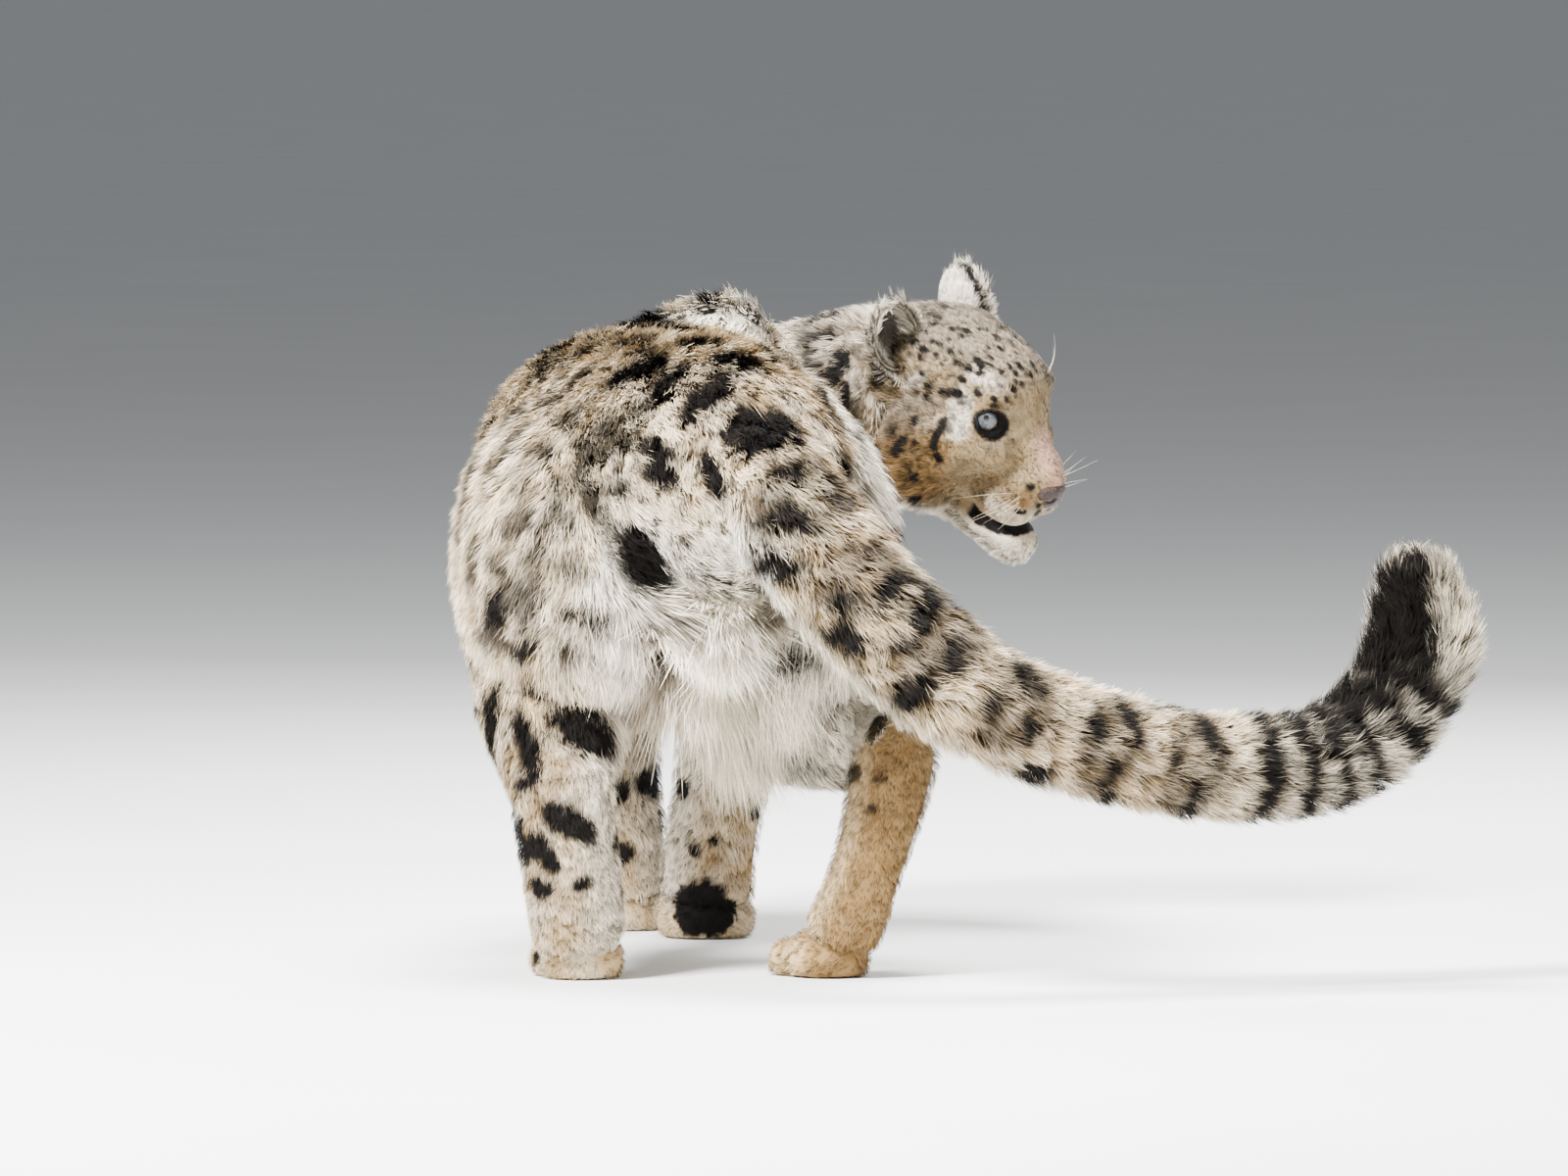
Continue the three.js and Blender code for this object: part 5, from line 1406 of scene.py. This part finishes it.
class LEOPARD_OT_skin(bpy.types.Operator):
    """One skin over the whole animal, in place of the solids of its flesh"""
    bl_idname = "leopard.skin"
    bl_label = "Skin"

    def execute(self, context):
        skin, marks = skin_and_marks()
        _, colours = settings()
        dark = darkness(skin.points, skin.normal, skin.place, marks)
        ochre, white, grey, blush = tones(skin.points, skin.normal, skin.place)
        # coat_shadow: painted shade of the coat on the skin, more where the coat is deeper
        masks = {"dark": dark, "ochre": ochre, "white": white, "grey": grey, "blush": blush,
                 "coat_shadow": smooth(0.003, 0.012, skin.height)}
        piece = fast_object("skin", skin.points, skin.quads, masks, None, 4)
        piece.data.materials.append(skin_material(colours))
        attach(piece, "root")
        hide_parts(*FLESH)
        return {"FINISHED"}


class LEOPARD_OT_coat(bpy.types.Operator):
    """The coat in tufts, region by region"""
    bl_idname = "leopard.coat"
    bl_label = "Coat"

    def execute(self, context):
        skin, marks = skin_and_marks()
        sizes, colours = settings()
        fur = fur_material("fur", colours)
        for seed, (name, (charts, count, length, width, strands, levels)) in enumerate(REGIONS.items()):
            spec = CoatSpec(charts, int(count * sizes.density), length * sizes.length, width * sizes.strand, strands,
                            levels, seed)
            points, faces, uv, masks = grow_coat(skin, spec, BodyPaint(marks))
            points[:, 2] = np.maximum(points[:, 2], TUFT_FLOOR)
            piece = fast_object(name, points, faces, masks, uv)
            piece.data.materials.append(fur)
            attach(piece, "root")
        return {"FINISHED"}


class LEOPARD_OT_ears(bpy.types.Operator):
    """Both ears with their own short coat and the long hair of the hollow"""
    bl_idname = "leopard.ears"
    bl_label = "Ears"

    def execute(self, context):
        sizes, colours = settings()
        fur, inside = fur_material("ear_fur", colours), skin_material(colours)
        inside.name = "ear_skin"
        for name, side in (("left", 1), ("right", -1)):
            ear = Ear(side)
            dark = ear.dark(ear.points, ear.normal, ear.place)
            ochre, white, grey, _ = ear.tones(ear.points, ear.normal, ear.place)
            shell = new_object(f"ear_shell_{name}", ear.points, ear.faces)
            # The hollow darkens towards its depth, partly the ear's own dark hair and partly painted shade;
            # coat_shadow lays an even painted shade of the coat over the shell.
            hollow = np.where(ear.inner > 0, 0.55 * (1 - ear.rim), 0)
            values = {"dark": np.maximum(dark, hollow), "ochre": ochre, "white": white, "grey": grey,
                      "blush": 0.4 * ear.inner, "coat_shadow": np.full(len(ear.points), 0.4)}
            give(shell.data, values)
            smooth_shaded(shell.data)
            shell.data.materials.append(inside)
            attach(shell, "root")
            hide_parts(f"ear_{name}")
            spec = CoatSpec([(f"ear_{name}", -1, 2)], EAR_TUFTS, EAR_TUFT_LONG, sizes.strand * EAR_TUFT_WIDE, 3,
                            SHORT_STRAND, EAR_SEED + side)
            points, faces, uv, masks = grow_coat(ear, spec, ear)
            coat = fast_object(f"coat_ear_{name}", points, faces, masks, uv)
            coat.data.materials.append(fur)
            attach(coat, "root")
        return {"FINISHED"}


def eye_material(colours):
    """Iris in streaks from the pupil out, a pale inner ring and a dark outer one, and the rest dark as painted shade.
    """
    n = Nodes("eye")
    off, turn = n.number("off"), n.number("turn")
    ray = n.add("ShaderNodeCombineXYZ", 0, None, i0=n.math("MULTIPLY", turn, 9.0), i1=n.math("MULTIPLY", off, 1.6))
    streak = n.noise(3.4, 5.0, ray)
    iris = n.mix(n.range(streak, 0.35, 0.68, 0.0, 1.0), colours.iris, colours.iris_pale)
    iris = n.mix(n.range(off, 0.3, 0.52, 0.6, 0.0), iris, colours.iris_centre)
    iris = n.mix(n.range(off, 0.86, 0.99, 0.0, 0.9), iris, colours.soot)
    pupil = n.range(off, 0.25, 0.285, 1.0, 0.0)
    white = n.range(off, 0.97, 1.03, 0.0, 1.0)
    colour = n.mix(white, n.mix(pupil, iris, colours.black), EYE_WHITE_SHADE)
    return n.finish(Base_Color=colour, Roughness=0.4, Coat_Weight=0.7, Coat_Roughness=0.02, Specular_IOR_Level=0.2,
                    Normal=n.bump(streak, 0.1, 0.0004))


EYE_WHITE_SHADE = (0.022, 0.015, 0.013)  # painted shade: the white of the eye is dark, as the little of it that shows between the lids lies in their shade
EYE_ROWS, NOSE_ROWS, BALL_SIDES = 64, 48, 72
IRIS_REACH, CORNEA_RISE, FAR_OFF = 42, 0.035, 3  # the iris's angle, the cornea's bulge, and a number past the iris


def eye_ball(side):
    """An eyeball with its cornea's bulge, and for each point how far off the gaze it lies and on which side."""
    gaze = gaze_of(EYE_GAZE[side], side)
    along = unit(np.cross(UP, gaze))
    over = np.cross(gaze, along)
    rows, sides = EYE_ROWS, BALL_SIDES
    theta = np.repeat(np.linspace(0.012, pi - 0.03, rows), sides)
    phi = np.tile(2 * pi * np.arange(sides) / sides, rows)
    iris = radians(IRIS_REACH)
    radius = EYE_RADIUS * (1 + CORNEA_RISE * smooth(iris, radians(12), theta))
    p = radius[:, None] * (np.cos(theta)[:, None] * gaze + np.sin(theta)[:, None] *
                           (np.cos(phi)[:, None] * along + np.sin(phi)[:, None] * over))
    p += eye_place(side)
    points, faces = closed(p, rows, sides)
    off = np.append(np.sin(np.minimum(theta, pi / 2)) / sin(iris), [0, FAR_OFF])
    off[np.append(theta, [0, pi]) > pi / 2] = FAR_OFF
    return head_to_body(points), faces, off, np.append(np.abs(phi / pi - 1), [0, 0])


def tube(path, radii, sides=8, ring=False):
    """A round tube along a path of points, closed at its ends or into a ring."""
    path, count = np.asarray(path, float), len(path)
    if ring:
        ahead = unit(np.roll(path, -1, 0) - np.roll(path, 1, 0))
    else:
        ahead = unit(np.gradient(path, axis=0))
    across = unit(np.cross(ahead, unit(path.mean(0) - path + 1e-6) + 0.01))
    above = np.cross(across, ahead)
    turn = 2 * pi * np.arange(sides) / sides
    shell = path[:, None] + np.asarray(radii)[:, None, None] * (
        np.cos(turn)[None, :, None] * across[:, None] + np.sin(turn)[None, :, None] * above[:, None])
    shell = shell.reshape(-1, 3)
    if not ring:
        return closed(shell, count, sides)
    r, k = np.meshgrid(np.arange(count), np.arange(sides), indexing="ij")
    n = (r + 1) % count
    faces = np.stack([r * sides + k, r * sides + (k + 1) % sides, n * sides + (k + 1) % sides, n * sides + k], -1)
    return shell, faces.reshape(-1, 4).tolist()


LID_POINTS, LID_RIM = 56, 0.0017  # points along the edge of the lids, and the radius of its rim in metres


def lid_rim(side):
    """The edge of the lids as a closed path just outside the eyeball, with a sharp corner at each end."""
    gaze, along, over = eye_axes(side)
    turn = 2 * pi * np.arange(LID_POINTS) / LID_POINTS
    b = LID_LONG * np.cos(turn)
    c = LID_HIGH * np.sign(np.sin(turn)) * (1 - (b / LID_LONG) ** 2)
    a = np.sqrt(np.maximum((EYE_RADIUS + 1.7) ** 2 - b * b - c * c, 4))
    p = a[:, None] * gaze + b[:, None] * along + c[:, None] * over
    return p + eye_place(side)


def shaded(piece):
    """A piece in its place, shaded smooth."""
    smooth_shaded(piece.data)
    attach(piece, "root")
    return piece


class LEOPARD_OT_eyes(bpy.types.Operator):
    """Both eyes and the dark rims of their lids"""
    bl_idname = "leopard.eyes"
    bl_label = "Eyes"

    def execute(self, context):
        _, colours = settings()
        glass = eye_material(colours)
        n = Nodes("lid_rim")
        rim = n.finish(Base_Color=n.mix(n.noise(600.0), colours.black, colours.soot), Roughness=0.5,
                       Specular_IOR_Level=0.2)
        for name, side in (("left", 1), ("right", -1)):
            points, faces, off, turn = eye_ball(side)
            ball = new_object(f"eyeball_{name}", points, faces)
            give(ball.data, {"off": off, "turn": turn})
            ball.data.materials.append(glass)
            shaded(ball)
            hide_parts(f"eye_{name}")
            path = lid_rim(side)
            points, faces = tube(head_to_body(path), np.full(len(path), LID_RIM), 8, True)
            lid = new_object(f"lid_rim_{name}", points, faces)
            lid.data.materials.append(rim)
            shaded(lid)
        return {"FINISHED"}


def nose_pad():
    """The bare pad of the nose, wide above and narrow below, with its two nostrils and the cleft."""
    rows, sides = NOSE_ROWS, BALL_SIDES
    theta = np.repeat(np.linspace(0.02, pi - 0.02, rows), sides)
    phi = np.tile(2 * pi * np.arange(sides) / sides, rows)
    x, y, z = np.cos(theta), np.sin(theta) * np.cos(phi), np.sin(theta) * np.sin(phi)
    f, l, u = NOSE_HALF
    y = y * (1 - 0.28 * smooth(0.1, -0.9, z)) * (1 + 0.06 * smooth(-0.2, 0.7, z))
    p = np.stack([f * x, l * y, u * z], 1)
    side = np.abs(p[:, 1])
    hole = np.hypot((side - 9.4) / 4.8, (p[:, 2] + 2.5 + 0.5 * (side - 9.4)) / 3.6)
    slit = segment(np.abs(p) * [1, 1, 0] + p * [0, 0, 1], (9, 12.5, -4), (-1, 18, -10)) / 2.6
    deep = np.maximum(smooth(1.15, 0.25, hole) * (x > 0), 0.6 * smooth(1.2, 0.3, slit))
    cleft = smooth(1.6, 0.2, side) * smooth(4, -8, p[:, 2]) * (x > 0)
    p[:, 0] -= 6.5 * deep + 1.6 * cleft
    p[:, 1] *= 1 - 0.12 * smooth(0.3, 1.0, z)
    p += NOSE_AT
    points, faces = closed(p, rows, sides)
    # The nostrils and the cleft are also returned as a mask, which the nose's material fills with black as painted
    # shade.
    return head_to_body(points), faces, np.append(np.maximum(deep, 0.6 * cleft), [0, 0])


class LEOPARD_OT_nose(bpy.types.Operator):
    """The bare pad of the nose"""
    bl_idname = "leopard.nose"
    bl_label = "Nose"

    def execute(self, context):
        _, colours = settings()
        points, faces, hole = nose_pad()
        pad = new_object("nose_pad", points, faces)
        give(pad.data, {"hole": hole})
        n = Nodes("nose_leather")
        cells = n.add("ShaderNodeTexVoronoi", 0, None, Vector=n.add("ShaderNodeTexCoord", 3), Scale=900.0)
        skin = n.mix(n.range(n.noise(110.0), 0.4, 0.75, 0.0, 0.12), colours.nose, colours.blush)
        skin = n.mix(n.range(cells, 0.1, 0.7, 0.0, 0.45), skin, colours.soot)
        # painted shade: black in the nostrils and the cleft
        skin = n.mix(n.number("hole"), skin, colours.black)
        pad.data.materials.append(n.finish(Base_Color=skin, Roughness=0.5, Specular_IOR_Level=0.3,
                                           Normal=n.bump(n.math("SUBTRACT", 1.0, cells), 0.6, 0.0005)))
        shaded(pad)
        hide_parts("nose")
        return {"FINISHED"}


def rooted(at, away):
    """The point of the head's skin that a line meets, in the head's own millimetres."""
    at, away = np.array(at, float), unit(np.array(away, float))
    for _ in range(60):
        at = at - away * face_distance(at[None])[0] * 0.7
    return at


WHISKER_THICK, BROW_THICK, WHISKER_PALE = 0.0002, 0.00016, (0.66, 0.60, 0.52)  # radii in metres, and the paler colour


def hair(root, way, long, droop, thick, steps):
    """A fine hair that starts a little under the skin, bends and ends in a point."""
    t = np.linspace(-0.03, 1, steps)[:, None]
    path = root + way * long * t + np.array(droop) * long * np.maximum(t, 0) ** 2
    return tube(head_to_body(path), thick * np.clip(1.05 - t[:, 0], 0.05, 1) ** 0.8, 5)


class LEOPARD_OT_whiskers(bpy.types.Operator):
    """White whiskers on the lip pads and longer hairs over the eyes"""
    bl_idname = "leopard.whiskers"
    bl_label = "Whiskers"

    def execute(self, context):
        sizes, colours = settings()
        rng = np.random.default_rng(7)
        meshes = []
        for side in (1, -1):
            for row in range(3):
                for k in range(2):
                    root = rooted((56 - 8 * k + 2 * row, side * 30, -52 - 4.5 * row), (0.15, side, 0))
                    long = sizes.whisker * 1000 * rng.uniform(0.55, 1.0) * (1 - 0.09 * abs(k - 2.5))
                    way = unit(np.array([0.18 - 0.2 * k + rng.normal() * 0.1, side * 0.95,
                                         0.25 - 0.12 * row + rng.normal() * 0.08]))
                    meshes.append(hair(root, way, long, (-0.12, 0, -0.12), WHISKER_THICK, 12))
            for k in range(3):
                root = rooted((10 - 2 * k, side * (30 + 3 * k), 26), (0.2, side * 0.2, 1))
                way = unit(np.array([0.35 + rng.normal() * 0.1, side * (0.2 + 0.15 * k), 0.9]))
                long = sizes.whisker * 1000 * rng.uniform(0.2, 0.35)
                meshes.append(hair(root, way, long, (-0.5, side * 0.1, -0.1), BROW_THICK, 10))
        points, faces = join(meshes)
        piece = new_object("whiskers", points, faces)
        n = Nodes("whisker")
        tone = n.mix(n.range(n.noise(60.0), 0.3, 0.7, 0.0, 1.0), colours.cream, WHISKER_PALE)
        piece.data.materials.append(n.finish(Base_Color=tone, Roughness=0.35))
        shaded(piece)
        return {"FINISHED"}


# Lamps: place, width in metres and power in watts.
LAMPS = {
    "key_light": ((-1.8, -2.3, 3.0), 0.9, 1050), "fill_light": ((2.6, -2.2, 1.4), 2.4, 60),
    "back_light": ((0.8, 2.6, 2.4), 1.6, 230), "top_light": ((-0.2, -0.2, 3.4), 1.2, 420)}
LAMP_AIM, SKY, FLOOR_PALE = (0, 0, 0.3), (0.86, 0.9, 0.95, 1), (0.66, 0.66, 0.65)
SENSOR, FAR_CLIP = 36, 1000  # the camera's width in millimetres, and how far it sees in metres


class LEOPARD_OT_studio(bpy.types.Operator):
    """A plain pale floor, soft lights and the camera"""
    bl_idname = "leopard.studio"
    bl_label = "Studio"

    def execute(self, context):
        stage = context.scene.leopard_studio
        edge = stage.floor_width / 2
        corners = [(-edge, -edge, 0), (edge, -edge, 0), (edge, edge, 0), (-edge, edge, 0)]
        floor = new_object("floor", corners, [[0, 1, 2, 3]])
        n = Nodes("studio_floor")
        tone = n.mix(n.range(n.noise(2.0), 0.3, 0.7, 0.0, 0.3), tuple(stage.floor_colour), FLOOR_PALE)
        floor.data.materials.append(n.finish(Base_Color=tone, Roughness=0.9))
        world = bpy.data.worlds.new("studio_light")
        context.scene.world = world
        world.use_nodes = True
        world.node_tree.nodes["Background"].inputs[0].default_value = SKY
        world.node_tree.nodes["Background"].inputs[1].default_value = stage.daylight
        aim = Vector(LAMP_AIM)
        for name, (place, size, power) in LAMPS.items():
            data = bpy.data.lights.new(name, "AREA")
            data.size, data.energy = size, power * stage.light
            lamp = bpy.data.objects.new(name, data)
            lamp.location = place
            lamp.rotation_euler = (aim - lamp.location).to_track_quat("-Z", "Y").to_euler()
            context.scene.collection.objects.link(lamp)
        data = bpy.data.cameras.new("camera")
        data.lens, data.sensor_width = stage.lens, SENSOR
        data.clip_end = FAR_CLIP
        camera = bpy.data.objects.new("camera", data)
        tilt = radians(stage.camera_tilt)
        view = Vector((0, cos(tilt), -sin(tilt)))
        aim = Vector(stage.aim) + Vector(SHIFT)
        camera.location = aim - view * stage.distance
        camera.rotation_euler = view.to_track_quat("-Z", "Y").to_euler()
        context.scene.collection.objects.link(camera)
        context.scene.camera = camera
        return {"FINISHED"}


def colour_property(name, description, value):
    return FloatVectorProperty(name=name, description=description, default=value, size=3, subtype="COLOR",
                               min=0, max=1)


class LeopardSizes(bpy.types.PropertyGroup):
    strand: FloatProperty(name="Strand width", description="Width of a strand of the coat at its widest",
                          default=0.0012, unit="LENGTH", precision=4)
    length: FloatProperty(name="Coat length", description="Length of the coat next to the live animal's",
                          default=1.0, subtype="FACTOR", min=0.3, max=2.0)
    density: FloatProperty(name="Coat density", description="Share of the full number of tufts",
                           default=1.0, subtype="FACTOR", min=0.05, max=1.0)
    whisker: FloatProperty(name="Whisker length", description="Length of the longest whiskers",
                           default=0.105, unit="LENGTH")


class LeopardColours(bpy.types.PropertyGroup):
    cream: colour_property("Cream", "Ground of the coat", (0.66, 0.50, 0.28))
    ochre: colour_property("Ochre", "Warm tone of the flanks and legs", (0.33, 0.19, 0.065))
    white: colour_property("White", "Under side of the body, chin and inner legs", (0.88, 0.81, 0.68))
    grey: colour_property("Grey", "Smoky tone of the back", (0.33, 0.30, 0.26))
    black: colour_property("Black", "Marks, lid rims and lips", (0.0035, 0.003, 0.0026))
    soot: colour_property("Soot", "Tips of the dark strands", (0.011, 0.0085, 0.007))
    blush: colour_property("Blush", "Thin short coat of the bridge and lips", (0.46, 0.27, 0.205))
    nose: colour_property("Nose", "Pad of the nose", (0.009, 0.0025, 0.0025))
    iris: colour_property("Iris", "Darker streaks of the iris", (0.03, 0.036, 0.045))
    iris_pale: colour_property("Pale iris", "Light streaks of the iris", (0.085, 0.097, 0.105))
    iris_centre: colour_property("Iris centre", "Ring of the iris round the pupil", (0.06, 0.062, 0.056))


class LeopardStudio(bpy.types.PropertyGroup):
    floor_width: FloatProperty(name="Floor width", description="Side of the square floor", default=600.0,
                               unit="LENGTH")
    floor_colour: colour_property("Floor", "Colour of the floor", (0.74, 0.74, 0.73))
    daylight: FloatProperty(name="Daylight", description="Strength of the even light all round", default=0.3)
    light: FloatProperty(name="Lamps", description="Strength of the lamps", default=1.0)
    distance: FloatProperty(name="Distance", description="Distance of the camera", default=VIEW_DISTANCE,
                            unit="LENGTH")
    camera_tilt: FloatProperty(name="Tilt", description="How far the camera looks down, in degrees",
                               default=VIEW_TILT)
    lens: FloatProperty(name="Lens", description="Focal length of the camera in millimetres", default=297.0)
    aim: FloatVectorProperty(name="Aim", description="Point that the camera looks at", size=3, subtype="TRANSLATION",
                             default=VIEW_AIM)


PIECES = [LEOPARD_OT_skin, LEOPARD_OT_coat, LEOPARD_OT_ears, LEOPARD_OT_eyes, LEOPARD_OT_nose, LEOPARD_OT_whiskers,
          LEOPARD_OT_studio]


class LEOPARD_PT_panel(bpy.types.Panel):
    """Sizes, colours and pieces of the animal"""
    bl_idname = "LEOPARD_PT_panel"
    bl_label = "Snow leopard"
    bl_space_type = "VIEW_3D"
    bl_region_type = "UI"
    bl_category = "Snow leopard"

    def draw(self, context):
        for name in ("leopard_sizes", "leopard_colours", "leopard_studio"):
            group = getattr(context.scene, name)
            for key in type(group).__annotations__:
                self.layout.prop(group, key)
        for piece in PIECES:
            self.layout.operator(piece.bl_idname)


CLASSES = [LeopardSizes, LeopardColours, LeopardStudio, *PIECES, LEOPARD_PT_panel]


def register():
    for made in CLASSES:
        bpy.utils.register_class(made)
    bpy.types.Scene.leopard_sizes = PointerProperty(type=LeopardSizes)
    bpy.types.Scene.leopard_colours = PointerProperty(type=LeopardColours)
    bpy.types.Scene.leopard_studio = PointerProperty(type=LeopardStudio)


def unregister():
    del bpy.types.Scene.leopard_studio
    del bpy.types.Scene.leopard_colours
    del bpy.types.Scene.leopard_sizes
    for made in reversed(CLASSES):
        bpy.utils.unregister_class(made)


def main():
    register()
    bpy.ops.leopard.studio()
    bpy.ops.leopard.skin()
    bpy.ops.leopard.coat()
    bpy.ops.leopard.ears()
    bpy.ops.leopard.eyes()
    bpy.ops.leopard.nose()
    bpy.ops.leopard.whiskers()


if __name__ == "__main__":
    main()
